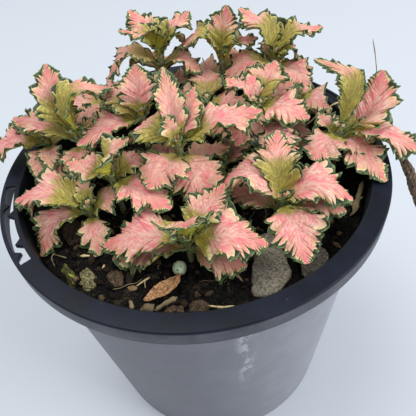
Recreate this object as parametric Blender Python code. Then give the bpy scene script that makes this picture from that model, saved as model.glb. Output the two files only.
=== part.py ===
"""A nerve plant in a 140 mm nursery pot: leafy shoots in potting mix, with bark chips on top.

Units are metres with +Z up. The origin is the centre of the pot's base, and -Y is the front.
Tables that describe the plant are in millimetres and degrees, which MM and math.radians convert.
"""
import math

import bmesh
import bpy
import numpy as np
from mathutils import Vector
from mathutils.bvhtree import BVHTree

MM = 0.001
GAP = 0.0003  # clearance between pieces that touch
SLIVERS = (0.00005, 0.00003, 0.00001, 0.000001)  # edges to merge away: the longest limit that fits

# Pot: a tapered wall, a flat flange round the rim and a short skirt that hangs from it
POT_HEIGHT = 0.1275
RIM_RADIUS = 0.070
SKIRT_DROP = 0.0063
SKIRT_WALL = 0.0011
FLANGE_THICKNESS = 0.0015
MOUTH_RADIUS = 0.0635
BASE_RADIUS = 0.0565
POT_WALL = 0.0012
BASE_THICKNESS = 0.0018
EDGE_ROUND = 0.0005
POT_SEGMENTS = 48

# Drain holes through the base, and the two label slots through the flange
DRAIN_HOLES = 8
DRAIN_RADIUS = 0.0042
DRAIN_CIRCLE = 0.044
SLOT_INNER = 0.0652
SLOT_OUTER = 0.0686
SLOT_ANGLES = (181.2, 214.4)
SLOT_TEETH_OUTER = (190.0, 210.6)
SLOT_TEETH_INNER = (194.3, 206.8)
TOOTH_DEPTH = 0.0020
TOOTH_HALF_ANGLE = 1.6

# Potting mix: its surface lies below the rim and undulates gently
SOIL_LEVEL = 0.116
SOIL_RINGS = 6
SOIL_SEGMENTS = 30

# Stems: straight shoots that stand in plain holes in the mix
STEM_TIP_RADIUS = 0.0011
STEM_SIDES = 7
STEM_DEPTH = 0.014
STEM_HOLE_RADIUS = 0.0021

# Leaf blade: half width along the leaf as a share of the full half width
BLADE_ALONG = (0.00, 0.10, 0.25, 0.40, 0.55, 0.70, 0.84, 0.93, 1.00)
BLADE_WIDTH = (0.14, 0.22, 0.66, 0.97, 1.00, 0.77, 0.44, 0.22, 0.05)
LEAF_THICKNESS = 0.0007
ROOT_FOLD = 50
TIP_FOLD = -10
FOLD_STATIONS = (0.0, 0.22, 0.5, 0.74, 1.0)  # the blade keeps its fold in the middle and opens to the tip
LEAF_STATIONS = (0.0, 0.27, 0.41, 0.55, 0.68, 0.84, 1.0)
TOOTH_SCALE = (1.0, 1.12, 0.86, 1.10, 0.84, 1.10, 1.0)
LOW_STATIONS = (0.0, 0.30, 0.52, 0.78, 1.0)  # for the shaded leaves
LOW_SCALE = (1.0, 1.0, 1.0, 1.05, 1.0)
SHADED_FROM = 4  # the fifth leaf of a shoot and those after it
LOW_SHOOTS = ("shoot_15", "shoot_16", "shoot_17")  # shoots that stand under the others
CURVE_STEPS = 64

# Bending a leaf clear of its neighbours: turns and lifts in degrees, then shorter blades
BEND_TURNS = (0, 6, -6, 12, -12, 18, -18, 24, -24)
BEND_LIFTS = (0, 5, -5, 10, -10, 16, -16, 22, -22)
BEND_LENGTHS = (1.0, 0.9, 0.8, 0.7)
CROSSING_COST = 2.5

# Each shoot: the place of its top node, then a row for each leaf. A row holds the drop below the
# top node, the plan direction, the slope at the root and at the tip, the length, the width, the angle
# by which each half of the blade folds up and, on some, how far the direction swings round to the tip.
SHOOTS = {
    "shoot_01": ((-5, -38, 127), [
        (0, -18, 28, -18, 26, 17, 12), (0, 170, 20, -30, 29, 18, 8), (1, 45, 38, 15, 22, 13, 26),
        (1, -84, 92, 34, 23, 15, 12), (4, 176, 4, -14, 25, 15, 20), (4, -26, -2, -14, 19, 15, 10)]),
    "shoot_02": ((27, -29, 128), [
        (0, -85, 14, -26, 24, 16, 15), (0, 152, 66, -50, 31, 17, 15), (1, -12, 58, -46, 29, 16, 12),
        (1, 100, 62, 10, 26, 14, 28, -25), (3, -18, 36, -25, 22, 14, 26), (4, 150, 22, 5, 20, 13, 30)]),
    "shoot_03": ((-38, -16, 124), [
        (0, 170, 52, -28, 30, 16, 15), (0, -166, 20, -40, 28, 14, 20, 40), (2, 14, 38, 16, 19, 16, 10),
        (2, -80, 2, -35, 17, 10, 10), (1, 100, 62, 45, 14, 8, 30), (3, 130, 25, 5, 21, 12, 20)]),
    "shoot_04": ((53, -4, 133), [
        (0, 40, 62, 5, 35, 10, 28, 100), (0, 12, 20, 52, 28, 16, 28, 50), (1, -28, 18, -18, 29, 16, 28),
        (1, -138, 15, -15, 17, 15, 10), (1, -60, 14, -10, 14, 14, 10), (3, -68, 14, -22, 25, 13, 10),
        (1, 130, 42, 30, 11, 9, 20)]),
    "shoot_05": ((-7, 44, 146), [
        (0, 138, 76, 34, 22, 15, 28), (0, 35, 66, 30, 22, 14, 28), (1, -165, 78, 20, 23, 12, 65),
        (1, 17, 66, -45, 20, 12, 30), (4, -24, 38, -50, 20, 14, 15), (4, -178, 42, -52, 29, 15, 15),
        (6, 138, 20, -8, 18, 12, 28), (9, 80, 20, -25, 20, 14, 20), (12, -140, 15, -15, 22, 14, 10),
        (14, 130, 5, -15, 20, 13, 20), (13, 20, 12, -15, 20, 13, 20)]),
    "shoot_06": ((39, 38, 142), [
        (0, 136, 72, 20, 25, 14, 28), (0, 2, 62, -5, 24, 14, 28), (1, -10, 72, -70, 18, 12, 10),
        (3, -48, 16, -40, 20, 15, 10), (3, -165, 34, -45, 27, 15, 15), (4, 75, 40, -15, 18, 13, 20),
        (8, 20, 10, -20, 20, 13, 20), (10, 100, 10, -15, 19, 13, 20), (10, -110, 10, -20, 22, 14, 10)]),
    "shoot_07": ((18, 42, 142), [
        (0, 165, 72, -40, 26, 14, 28), (0, 50, 84, 66, 21, 14, 28), (1, 0, 62, 0, 19, 12, 30),
        (4, 30, 20, -5, 18, 12, 26), (7, -150, 10, -35, 22, 14, 10), (8, 140, 15, -15, 20, 13, 20),
        (9, -30, 8, -20, 20, 13, 10)]),
    "shoot_08": ((-4, -8, 140), [
        (0, 6, 34, -4, 31, 17, 15), (0, 95, 66, 42, 26, 10, 28), (1, 58, 56, 34, 21, 12, 25),
        (1, 144, 46, -52, 26, 16, 10), (3, -126, 2, -22, 19, 17, 10), (3, -68, 8, -30, 22, 17, 10),
        (1, 130, 72, 60, 13, 10, 26), (8, 30, 2, -15, 22, 13, 10), (9, 120, 5, -15, 20, 13, 10)]),
    "shoot_09": ((-28, -11, 133), [
        (0, -10, 95, 30, 21, 13, 28), (0, 165, 40, 5, 16, 13, 20), (1, -44, 12, -15, 27, 15, 10),
        (1, 20, 45, -10, 17, 12, 10), (5, 100, 15, -10, 20, 13, 10)]),
    "shoot_10": ((-40, 8, 138), [
        (0, 136, 58, 52, 27, 14, 25, -45), (0, 36, 95, -30, 33, 13, 35), (2, 158, 36, -5, 27, 15, 10),
        (3, -95, 4, -25, 16, 11, 10), (1, 0, 42, 40, 13, 8, 30), (4, 75, 32, -10, 23, 14, 15),
        (6, -135, 5, -22, 18, 12, 10)]),
    "shoot_11": ((-16, 9, 142), [
        (0, -158, 14, -18, 25, 15, 10), (0, 80, 76, 58, 18, 14, 20), (1, 40, 68, 50, 18, 10, 28),
        (2, -40, 20, -8, 14, 10, 20), (3, 134, 66, -10, 23, 14, 15), (5, 105, 35, -15, 24, 13, 20)]),
    "shoot_12": ((26, 8, 140), [
        (0, 52, 56, 20, 19, 14, 26), (0, 140, 60, 10, 16, 14, 35), (0, -35, 20, -16, 20, 17, 15),
        (1, -123, 18, -36, 20, 15, 15), (2, -82, 14, -30, 28, 15, 10), (4, 40, 28, -5, 22, 15, 10),
        (7, 175, 5, -15, 20, 13, 10)]),
    "shoot_13": ((43, 15, 136), [
        (0, -35, 30, -32, 13, 14, 10), (1, 160, 25, -10, 16, 14, 10), (0, 60, 25, -15, 11, 9, 10),
        (2, -150, 10, -20, 14, 12, 10), (5, 0, 10, -15, 14, 12, 10), (7, -112, 5, -12, 25, 13, 10)]),
    "shoot_14": ((-54, 16, 131), [
        (0, 180, 22, -26, 26, 17, 10), (0, 140, 42, 8, 18, 10, 26), (1, -105, 15, -28, 16, 10, 10),
        (1, -78, 15, -24, 17, 9, 10), (3, 78, 28, -10, 22, 13, 10)]),
    "shoot_15": ((10, -6, 125), [
        (0, -150, 15, -10, 20, 13, 10), (0, 60, 12, -8, 22, 13, 10), (1, -55, 10, -10, 20, 13, 10),
        (1, 150, 15, -8, 18, 12, 10)]),
    "shoot_16": ((-32, 38, 130), [
        (0, 172, 22, -18, 24, 14, 10), (0, 60, 25, -15, 22, 14, 10), (1, 115, 28, -18, 22, 14, 10),
        (2, -110, 12, -12, 18, 13, 10), (2, -20, 15, -12, 18, 12, 10)]),
    "shoot_17": ((9, 26, 132), [
        (0, 165, 28, -15, 18, 13, 15), (0, -15, 22, -18, 18, 13, 10), (0, 80, 45, -5, 19, 14, 20),
        (1, -125, 15, -18, 16, 12, 10), (1, -70, 18, -16, 15, 12, 10)]),
}

# Bark on the mix: the plan outline, the height of its middle over the soil level, its thickness
# and how much it rises towards +X and +Y
BARK = {
    "bark_chip_1": (((19, -32), (24, -34), (26, -49), (19, -56), (12, -54), (14, -44)), 2.2, 3.4, 0.02, 0.12),
    "bark_chip_2": (((30, -38), (36, -36), (39, -45), (34, -51), (29, -50)), 1.6, 3.0, 0.05, 0.10),
    "bark_chip_3": (((-42, -37.2), (-39.6, -36.2), (-36.2, -39.6), (-36, -43.3), (-39, -44), (-41.2, -41.8)),
                    1.8, 3.2, -0.05, 0.08),
    "bark_chip_4": (((-32.2, -40), (-29.6, -38.4), (-27, -41.2), (-27.2, -45.4), (-30, -45.6), (-32, -43)),
                    1.5, 2.8, 0.08, 0.05),
    "bark_chip_5": (((-51, -16), (-46, -11), (-40, -17), (-43, -24), (-47, -24)), 1.0, 3.0, 0.10, -0.05),
    "bark_chip_6": (((-7.6, -54), (-5.8, -52.7), (-2.8, -53.7), (-0.6, -55.5), (-1.7, -57.4), (-7, -56.5)),
                    1.1, 2.0, 0.0, 0.05),
    "bark_chip_7": (((-14.8, -54.7), (-12.3, -53.7), (-8.9, -54.8), (-8.9, -57), (-14.2, -56.1)),
                    0.8, 1.8, 0.0, 0.05),
    "bark_chip_8": (((-48.2, -34.5), (-47, -32), (-44, -35.5), (-43, -41), (-44.2, -41.6), (-46, -39.4)),
                    1.5, 2.6, 0.12, 0.06),
    "bark_shard": (((-20.5, -51.3), (-16.3, -48.4), (-12.3, -45.3), (-10.4, -44.6), (-8.6, -45.2),
                    (-9, -47.8), (-12, -51), (-16.4, -52)), 1.7, 1.8, 0.12, 0.06),
}
POCKET_CLEARANCE = 0.0005

# One round prill of slow-release feed, half sunk in the mix
PRILL_CENTRE = (-9.0, -41.2, 117.4)
PRILL_RADIUS = 0.0024

# Dead stem: it comes up from the mix, crosses the rim and hangs outside the pot
DEAD_STEM_PATH = ((55, 6, 109), (57, 4.4, 118), (59.4, 2, 126), (63.4, -2.4, 130.3), (68.6, -7.4, 130.8),
                  (72.8, -11.9, 128.2), (75.6, -14.6, 122.8), (78.8, -15.9, 116.5), (82.3, -16.5, 109),
                  (85.3, -16.8, 102))
DEAD_STEM_RADIUS = 0.0016
DEAD_STEM_POINTS = 20


def clear_scene():
    """Remove every object that the file starts with."""
    for obj in list(bpy.data.objects):
        bpy.data.objects.remove(obj)


def material(name, colour, roughness, metallic=0.0):
    """A Principled material with one colour."""
    made = bpy.data.materials.new(name)
    made.use_nodes = True
    shader = made.node_tree.nodes["Principled BSDF"]
    shader.inputs["Base Color"].default_value = (*colour, 1.0)
    shader.inputs["Roughness"].default_value = roughness
    shader.inputs["Metallic"].default_value = metallic
    return made


def object_from(name, points, faces, finish=None):
    """A closed mesh object whose faces are turned outward."""
    mesh = bpy.data.meshes.new(name)
    mesh.from_pydata([tuple(map(float, point)) for point in points], [], [tuple(face) for face in faces])
    work = bmesh.new()
    work.from_mesh(mesh)
    bmesh.ops.recalc_face_normals(work, faces=work.faces)
    work.to_mesh(mesh)
    work.free()
    obj = bpy.data.objects.new(name, mesh)
    bpy.context.scene.collection.objects.link(obj)
    if finish:
        mesh.materials.append(finish)
    return obj


def settle_modifiers(obj):
    """Keep the evaluated mesh of an object and drop its modifiers."""
    bpy.context.view_layer.update()
    evaluated = obj.evaluated_get(bpy.context.evaluated_depsgraph_get())
    settled = bpy.data.meshes.new_from_object(evaluated)
    obj.modifiers.clear()
    obj.data = settled


def outer_skin(work):
    """Remove every shell but the largest, which fills the sealed pockets between crossing leaves."""
    skins = []
    unseen = set(work.verts)
    while unseen:
        skin = []
        front = [unseen.pop()]
        while front:
            vertex = front.pop()
            skin.append(vertex)
            near = {edge.other_vert(vertex) for edge in vertex.link_edges} & unseen
            unseen -= near
            front += near
        skins.append(skin)
    for skin in sorted(skins, key=len)[:-1]:
        bmesh.ops.delete(work, geom=skin, context="VERTS")


def tidy_solid(obj):
    """Keep the outer skin of a solid, merge its slivers, and tell whether the result is closed."""
    for flatness in (0.4, 0.0):
        for sliver in SLIVERS:
            work = bmesh.new()
            work.from_mesh(obj.data)
            outer_skin(work)
            bmesh.ops.remove_doubles(work, verts=work.verts, dist=sliver)
            bmesh.ops.dissolve_degenerate(work, edges=work.edges, dist=sliver)
            if flatness:
                limit = math.radians(flatness)
                bmesh.ops.dissolve_limit(work, verts=work.verts, edges=work.edges, angle_limit=limit)
            bmesh.ops.triangulate(work, faces=work.faces)
            closed = all(len(edge.link_faces) == 2 for edge in work.edges)
            if closed:
                work.to_mesh(obj.data)
            work.free()
            if closed:
                return True
    return False


def split_faces(obj):
    """Split the faces of a mesh object into triangles, which keeps a union of many pieces closed."""
    work = bmesh.new()
    work.from_mesh(obj.data)
    bmesh.ops.triangulate(work, faces=work.faces)
    work.to_mesh(obj.data)
    work.free()


def combine(obj, others, operation):
    """Join the other objects to this one, or cut them from it, and remove them."""
    group = bpy.data.collections.new(obj.name + "_tools")
    bpy.context.scene.collection.children.link(group)
    for other in others:
        group.objects.link(other)
    boolean = obj.modifiers.new("combine", "BOOLEAN")
    boolean.operation = operation
    boolean.operand_type = "COLLECTION"
    boolean.collection = group
    boolean.solver = "EXACT"
    settle_modifiers(obj)
    for other in others:
        bpy.data.objects.remove(other)
    bpy.data.collections.remove(group)
    return tidy_solid(obj)


def prism(name, outline, low, high):
    """An upright prism on a plan outline. Low and high are heights, or functions of x and y."""
    low_at = low if callable(low) else lambda x, y: low
    high_at = high if callable(high) else lambda x, y: high
    count = len(outline)
    points = [(x, y, low_at(x, y)) for x, y in outline]
    points += [(x, y, high_at(x, y)) for x, y in outline]
    faces = [tuple(range(count)), tuple(range(count, 2 * count))]
    for k in range(count):
        following = (k + 1) % count
        faces.append((k, following, count + following, count + k))
    return object_from(name, points, faces)


def circle(centre, radius, sides):
    """Plan points round a circle."""
    turns = [2 * math.pi * k / sides for k in range(sides)]
    return [(centre[0] + radius * math.cos(t), centre[1] + radius * math.sin(t)) for t in turns]


def wall_radius(z):
    """Inner radius of the pot's wall at a height above its base."""
    inner_base = BASE_RADIUS - POT_WALL
    return inner_base + (MOUTH_RADIUS - inner_base) * (z - BASE_THICKNESS) / (POT_HEIGHT - BASE_THICKNESS)


def pot_profile():
    """Half section of the pot, from the axis under the base, up the outside and down the inside."""
    neck = MOUTH_RADIUS + POT_WALL
    flange_low = POT_HEIGHT - FLANGE_THICKNESS
    skirt_low = POT_HEIGHT - SKIRT_DROP
    skirt_inner = RIM_RADIUS - SKIRT_WALL
    return [
        (0, 0), (BASE_RADIUS - 2 * EDGE_ROUND, 0), (BASE_RADIUS, 2 * EDGE_ROUND),
        (neck, flange_low), (skirt_inner, flange_low), (skirt_inner, skirt_low),
        (RIM_RADIUS, skirt_low), (RIM_RADIUS, POT_HEIGHT - EDGE_ROUND),
        (RIM_RADIUS - EDGE_ROUND, POT_HEIGHT), (MOUTH_RADIUS + EDGE_ROUND, POT_HEIGHT),
        (MOUTH_RADIUS, POT_HEIGHT - EDGE_ROUND), (wall_radius(BASE_THICKNESS), BASE_THICKNESS),
        (0, BASE_THICKNESS)]


def turned(name, profile, segments, finish):
    """A solid turned about Z from a half section that starts and ends on the axis."""
    points = [(0, 0, profile[0][1]), (0, 0, profile[-1][1])]
    for k in range(segments):
        angle = 2 * math.pi * k / segments
        points += [(r * math.cos(angle), r * math.sin(angle), z) for r, z in profile[1:-1]]
    ring = len(profile) - 2
    faces = []
    for k in range(segments):
        here = 2 + k * ring
        there = 2 + (k + 1) % segments * ring
        faces.append((0, there, here))
        faces.append((1, here + ring - 1, there + ring - 1))
        faces += [(here + j, there + j, there + j + 1, here + j + 1) for j in range(ring - 1)]
    obj = object_from(name, points, faces, finish)
    obj.data.shade_smooth()
    obj.data.set_sharp_from_angle(angle=math.radians(35))
    return obj


def slot_outline(turn):
    """Plan outline of a label slot: an arc-shaped opening with small triangular teeth."""
    def at(angle, radius):
        full = math.radians(angle + turn)
        return radius * math.cos(full), radius * math.sin(full)

    def edge(radius, teeth, depth):
        stops = list(np.linspace(*SLOT_ANGLES, 9))
        points = [(angle, radius) for angle in stops
                  if all(abs(angle - tooth) > TOOTH_HALF_ANGLE for tooth in teeth)]
        for tooth in teeth:
            points += [(tooth - TOOTH_HALF_ANGLE, radius), (tooth, radius + depth),
                       (tooth + TOOTH_HALF_ANGLE, radius)]
        return [at(*point) for point in sorted(points)]

    outer = edge(SLOT_OUTER, SLOT_TEETH_OUTER, -TOOTH_DEPTH)
    inner = edge(SLOT_INNER, SLOT_TEETH_INNER, TOOTH_DEPTH)
    return outer + inner[::-1]


def make_pot():
    """The pot, moulded in one piece, with its drain holes and label slots."""
    pot = turned("pot", pot_profile(), POT_SEGMENTS, material("pot_plastic", (0.075, 0.085, 0.11), 0.42))
    cutters = []
    for k, centre in enumerate(circle((0, 0), DRAIN_CIRCLE, DRAIN_HOLES)):
        cutters.append(prism(f"drain_{k}", circle(centre, DRAIN_RADIUS, 12), -0.002, BASE_THICKNESS + 0.002))
    for turn in (0, 180):
        cutters.append(prism(f"slot_{turn}", slot_outline(turn), POT_HEIGHT - 0.004, POT_HEIGHT + 0.002))
    combine(pot, cutters, "DIFFERENCE")
    return pot


def soil_height(x, y):
    """Height of the mix: a level with two crossing waves and a slight mound in the middle."""
    waves = 1.1 * math.sin(x / 0.011 + 1.0) * math.cos(y / 0.013) + 0.5 * math.sin(x / 0.0057 + y / 0.0071)
    mound = 1.5 * (1 - (x * x + y * y) / MOUTH_RADIUS ** 2)
    return SOIL_LEVEL + MM * (waves + mound - 0.5)


def make_soil(cutters):
    """Potting mix that fills the pot, with a hole for each stem and a pocket under each chip."""
    bottom = BASE_THICKNESS + GAP
    top_radius = wall_radius(SOIL_LEVEL - 0.002) - GAP
    points = [(0, 0, soil_height(0, 0)), (0, 0, bottom)]
    for ring in range(1, SOIL_RINGS + 1):
        radius = top_radius * ring / SOIL_RINGS
        points += [(x, y, soil_height(x, y)) for x, y in circle((0, 0), radius, SOIL_SEGMENTS)]
    points += [(x, y, bottom) for x, y in circle((0, 0), wall_radius(bottom) - GAP, SOIL_SEGMENTS)]
    faces = []
    for k in range(SOIL_SEGMENTS):
        following = (k + 1) % SOIL_SEGMENTS
        faces.append((0, 2 + k, 2 + following))
        for ring in range(SOIL_RINGS):
            here = 2 + ring * SOIL_SEGMENTS
            there = here + SOIL_SEGMENTS
            faces.append((here + k, there + k, there + following))
            faces.append((here + k, there + following, here + following))
        last = 2 + SOIL_RINGS * SOIL_SEGMENTS
        faces.append((1, last + k, last + following))
    soil = object_from("potting_mix", points, faces, material("potting_mix", (0.022, 0.017, 0.013), 0.95))
    combine(soil, cutters, "DIFFERENCE")
    return soil


def chip_solid(name, spec, grow):
    """A flat chip of bark, or with grow above zero the slightly larger pocket under it."""
    outline, lift, thickness, slope_x, slope_y = spec
    flat = [(x * MM, y * MM) for x, y in outline]
    middle = np.mean(flat, axis=0)
    level = soil_height(*middle) + lift * MM

    def top(x, y):
        return level + slope_x * (x - middle[0]) + slope_y * (y - middle[1]) + grow

    def low(x, y):
        return top(x, y) - thickness * MM - 2 * grow

    grown = []
    for x, y in flat:
        away = np.array((x, y)) - middle
        away = away * (1 + 1.4 * grow / np.linalg.norm(away))
        grown.append(tuple(middle + away))
    return prism(name, grown, low, top)


def make_bark():
    """The chips of bark and the curled shard, with a pocket for each."""
    brown = material("bark", (0.16, 0.125, 0.095), 0.9)
    chips = []
    pockets = []
    for name, spec in BARK.items():
        chip = chip_solid(name, spec, 0.0)
        chip.data.materials.append(brown)
        bevel = chip.modifiers.new("worn edges", "BEVEL")
        bevel.width = 0.0005
        bevel.segments = 1
        settle_modifiers(chip)
        chips.append(chip)
        pockets.append(chip_solid(name + "_pocket", spec, POCKET_CLEARANCE))
    return chips, pockets


def ball(name, centre, radius, finish=None):
    """A round solid of few faces."""
    work = bmesh.new()
    bmesh.ops.create_icosphere(work, subdivisions=2, radius=radius)
    bmesh.ops.translate(work, verts=work.verts, vec=Vector(centre) * MM)
    mesh = bpy.data.meshes.new(name)
    work.to_mesh(mesh)
    work.free()
    obj = bpy.data.objects.new(name, mesh)
    bpy.context.scene.collection.objects.link(obj)
    if finish:
        mesh.materials.append(finish)
    return obj


def smooth_path(points, count):
    """Evenly shared points on a Catmull-Rom curve through the given points."""
    knots = np.array([points[0], *points, points[-1]], float)
    path = []
    for place in np.linspace(0, len(points) - 1, count):
        k = min(int(place), len(points) - 2)
        t = place - k
        a, b, c, d = knots[k:k + 4]
        path.append(0.5 * (2 * b + (c - a) * t + (2 * a - 5 * b + 4 * c - d) * t ** 2
                           + (3 * b - a - 3 * c + d) * t ** 3))
    return np.array(path) * MM


def tube(name, path, radii, sides, finish=None):
    """A closed round tube along a path, with its rings square to the path."""
    points = []
    tangents = np.gradient(path, axis=0)
    for place, tangent, radius in zip(path, tangents, radii):
        tangent = Vector(tangent).normalized()
        across = tangent.cross(Vector((0.31, 0.95, 0.05))).normalized()
        over = tangent.cross(across)
        for k in range(sides):
            turn = 2 * math.pi * k / sides
            points.append(Vector(place) + radius * (math.cos(turn) * across + math.sin(turn) * over))
    rings = len(path)
    faces = [tuple(range(sides)), tuple(range((rings - 1) * sides, rings * sides))]
    for ring in range(rings - 1):
        for k in range(sides):
            following = (k + 1) % sides
            low = ring * sides
            faces.append((low + k, low + following, low + sides + following, low + sides + k))
    return object_from(name, points, faces, finish)


def make_dead_stem():
    """The dead stem over the rim, and the hole in the mix that it comes out of."""
    path = smooth_path(DEAD_STEM_PATH, DEAD_STEM_POINTS)
    radii = [DEAD_STEM_RADIUS] * DEAD_STEM_POINTS
    stem = tube("dead_stem", path, radii, 8, material("dead_stem", (0.17, 0.125, 0.09), 0.9))
    buried = path[:6].copy()
    buried[0] -= 0.0008 * (buried[1] - buried[0]) / np.linalg.norm(buried[1] - buried[0])
    hole = tube("dead_stem_hole", buried, [DEAD_STEM_RADIUS * 1.45] * len(buried), 8)
    return stem, hole


def leaf_line(node, row):
    """Centre line of a leaf: its slope eases from the root's to the tip's as it runs outward."""
    drop, turn, rise, end, length = row[:5]
    drop += 0.4 * math.sin(1.7 * turn)
    swing = row[7] if len(row) > 7 else 0
    along = np.linspace(0, 1, CURVE_STEPS + 1)
    ease = np.clip((along - 0.15) / 0.7, 0, 1)
    ease = ease * ease * (3 - 2 * ease)
    slope = np.radians(rise + (end - rise) * ease)
    heading = np.radians(turn + swing * ease)
    step = np.stack([np.cos(slope) * np.cos(heading), np.cos(slope) * np.sin(heading), np.sin(slope)], 1)
    run = np.cumsum((step[1:] + step[:-1]) / 2 * length / CURVE_STEPS, axis=0)
    start = np.array(node) + (0.35 * math.cos(heading[0]), 0.35 * math.sin(heading[0]), -drop)
    line = np.vstack([np.zeros(3), run]) + start
    return along, line * MM, slope, heading


def leaf_frame(node, row, stations):
    """Places, side and upward directions, half widths and folds at the stations along a leaf."""
    width, fold = row[5:7]
    along, line, slope, heading = leaf_line(node, row)
    centre = np.stack([np.interp(stations, along, line[:, k]) for k in range(3)], 1)
    slope = np.interp(stations, along, slope)
    heading = np.interp(stations, along, heading)
    side = np.stack([-np.sin(heading), np.cos(heading), np.zeros(len(heading))], 1)
    over = np.stack([-np.sin(slope) * np.cos(heading), -np.sin(slope) * np.sin(heading), np.cos(slope)], 1)
    half = np.interp(stations, BLADE_ALONG, BLADE_WIDTH) * width / 2 * MM
    bends = (max(ROOT_FOLD, fold), fold, fold, TIP_FOLD, TIP_FOLD)
    folds = np.radians(np.interp(stations, FOLD_STATIONS, bends))
    return centre, side, over, half, folds


def is_shaded(shoot, rank):
    """Whether a leaf lies so deep in the plant that it has a plainer outline."""
    return rank >= SHADED_FROM or shoot in LOW_SHOOTS


def leaf_solid(node, row, shaded):
    """Points and faces of a leaf. Its rows hold the left edge, the midrib and the right edge."""
    stations, scales = (LOW_STATIONS, LOW_SCALE) if shaded else (LEAF_STATIONS, TOOTH_SCALE)
    centre, side, over, half, folds = leaf_frame(node, row, stations)
    half = half * np.array(scales)
    out = (half * np.cos(folds))[:, None] * side
    up = (half * np.sin(folds))[:, None] * over
    upper = np.stack([centre + out + up, centre, centre - out + up], 1)
    lean = np.sin(folds)[:, None] * side
    flat = np.cos(folds)[:, None] * over
    lower = np.stack([upper[:, 0] - LEAF_THICKNESS * (flat - lean),
                      centre - LEAF_THICKNESS * over / np.cos(folds)[:, None],
                      upper[:, 2] - LEAF_THICKNESS * (flat + lean)], 1)
    points = np.vstack([upper.reshape(-1, 3), lower.reshape(-1, 3)])
    return points, leaf_faces(0, len(stations) - 1, 3 * len(stations))


def leaf_faces(first, last, lower):
    """Faces of the leaf between two stations, split alike above and below. Lower points start at lower."""
    faces = []
    for i in range(first, last):
        for j in range(2):
            a, b = 3 * i + j, 3 * i + 3 + j
            for start, sense in ((0, 1), (lower, -1)):
                faces.append((start + a, start + a + 1, start + b + 1)[::sense])
                faces.append((start + a, start + b + 1, start + b)[::sense])
        for j in (0, 2):
            a, b = 3 * i + j, 3 * i + 3 + j
            faces.append((a, b, lower + b))
            faces.append((a, lower + b, lower + a))
    for i in (first, last):
        for j in range(2):
            a = 3 * i + j
            faces.append((a, a + 1, lower + a + 1))
            faces.append((a, lower + a + 1, lower + a))
    return faces


def tree_of(points, faces):
    """A search tree that counts surfaces within the gap as touching."""
    return BVHTree.FromPolygons([Vector(point) for point in points], faces, epsilon=GAP)


def object_tree(obj):
    """A search tree of an object's faces."""
    faces = [tuple(face.vertices) for face in obj.data.polygons]
    return tree_of([vertex.co for vertex in obj.data.vertices], faces)


class LeafTrees:
    """Search trees of one leaf: the whole blade, and the part past the crowded roots."""

    def __init__(self, shoot, node, row, shaded):
        points, faces = leaf_solid(node, row, shaded)
        last = len(points) // 6 - 1
        self.shoot = shoot
        self.middle = points.mean(axis=0)
        self.reach = np.linalg.norm(points - self.middle, axis=1).max()
        self.whole = tree_of(points, faces)
        self.outer = tree_of(points, leaf_faces(last // 3, last, len(points) // 2))

    def crosses(self, other):
        """Whether this leaf crosses another, roots on the same stem aside."""
        if np.linalg.norm(self.middle - other.middle) > self.reach + other.reach:
            return False
        if self.shoot == other.shoot:
            return bool(self.outer.overlap(other.outer))
        return bool(self.whole.overlap(other.whole))


def bend_cost(turn, lift, scale):
    """How far a bend moves a leaf."""
    return abs(turn) / 6 + abs(lift) / 5 + 30 * (1 - scale)


def bends():
    """Turns, lifts and lengths to try on a leaf, the mildest first."""
    tries = [(turn, lift, scale) for turn in BEND_TURNS for lift in BEND_LIFTS for scale in BEND_LENGTHS]
    return sorted(tries, key=lambda one: bend_cost(*one))


def bend_clear(shoot, node, row, shaded, placed, solids, stems):
    """Bend one leaf clear of other shoots and solids; two blades of one shoot may cross at a cost."""
    drop, turn, rise, end, length, width, fold, *swing = row
    best = (math.inf, None, None)
    for extra, lift, scale in bends():
        cost = bend_cost(extra, lift, scale)
        if cost >= best[0]:
            break
        bent = (drop, turn + extra, rise + lift, end + lift, length * scale, width * scale, fold, *swing)
        leaf = LeafTrees(shoot, node, bent, shaded)
        if any(leaf.whole.overlap(tree) for tree in solids):
            continue
        if any(leaf.whole.overlap(tree) for name, tree in stems.items() if name != shoot):
            continue
        crossed = [other for other in placed if leaf.crosses(other)]
        if any(other.shoot != shoot for other in crossed):
            continue
        cost += CROSSING_COST * len(crossed)
        if cost < best[0]:
            best = (cost, bent, leaf)
    return best[1:]


def settle_leaves(solids, stems):
    """Bend every leaf clear, rank by rank: first each shoot's most visible leaf, then the next."""
    placed = []
    rows = {shoot: [] for shoot in SHOOTS}
    for rank in range(max(len(leaves) for node, leaves in SHOOTS.values())):
        for shoot, (node, leaves) in SHOOTS.items():
            if rank >= len(leaves):
                continue
            shaded = is_shaded(shoot, rank)
            bent, leaf = bend_clear(shoot, node, leaves[rank], shaded, placed, solids, stems)
            if bent:
                rows[shoot].append(bent)
                placed.append(leaf)
            else:
                print("no room for leaf", rank, "of", shoot)
    return rows


def stem_solid(shoot, node, swelling=1.0):
    """The upright stem of a shoot, from its foot in the mix to the swollen node at its top."""
    x, y, z = np.array(node) * MM
    foot = soil_height(x, y) - STEM_DEPTH
    heights = (foot, z - 0.0030, z - 0.0014, z + 0.0004, z + 0.0018, z + 0.0026)
    radii = [swelling * STEM_TIP_RADIUS * share for share in (1.27, 1.15, 1.8, 2.0, 1.5, 0.6)]
    return tube(shoot, np.array([(x, y, height) for height in heights]), radii, STEM_SIDES)


def stem_hole(shoot, node):
    """The plain hole in the mix that a stem stands in."""
    x, y = node[0] * MM, node[1] * MM
    foot = soil_height(x, y) - STEM_DEPTH
    outline = circle((x, y), STEM_HOLE_RADIUS, STEM_SIDES)
    return prism(shoot + "_hole", outline, foot - GAP, SOIL_LEVEL + 0.008)


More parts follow.
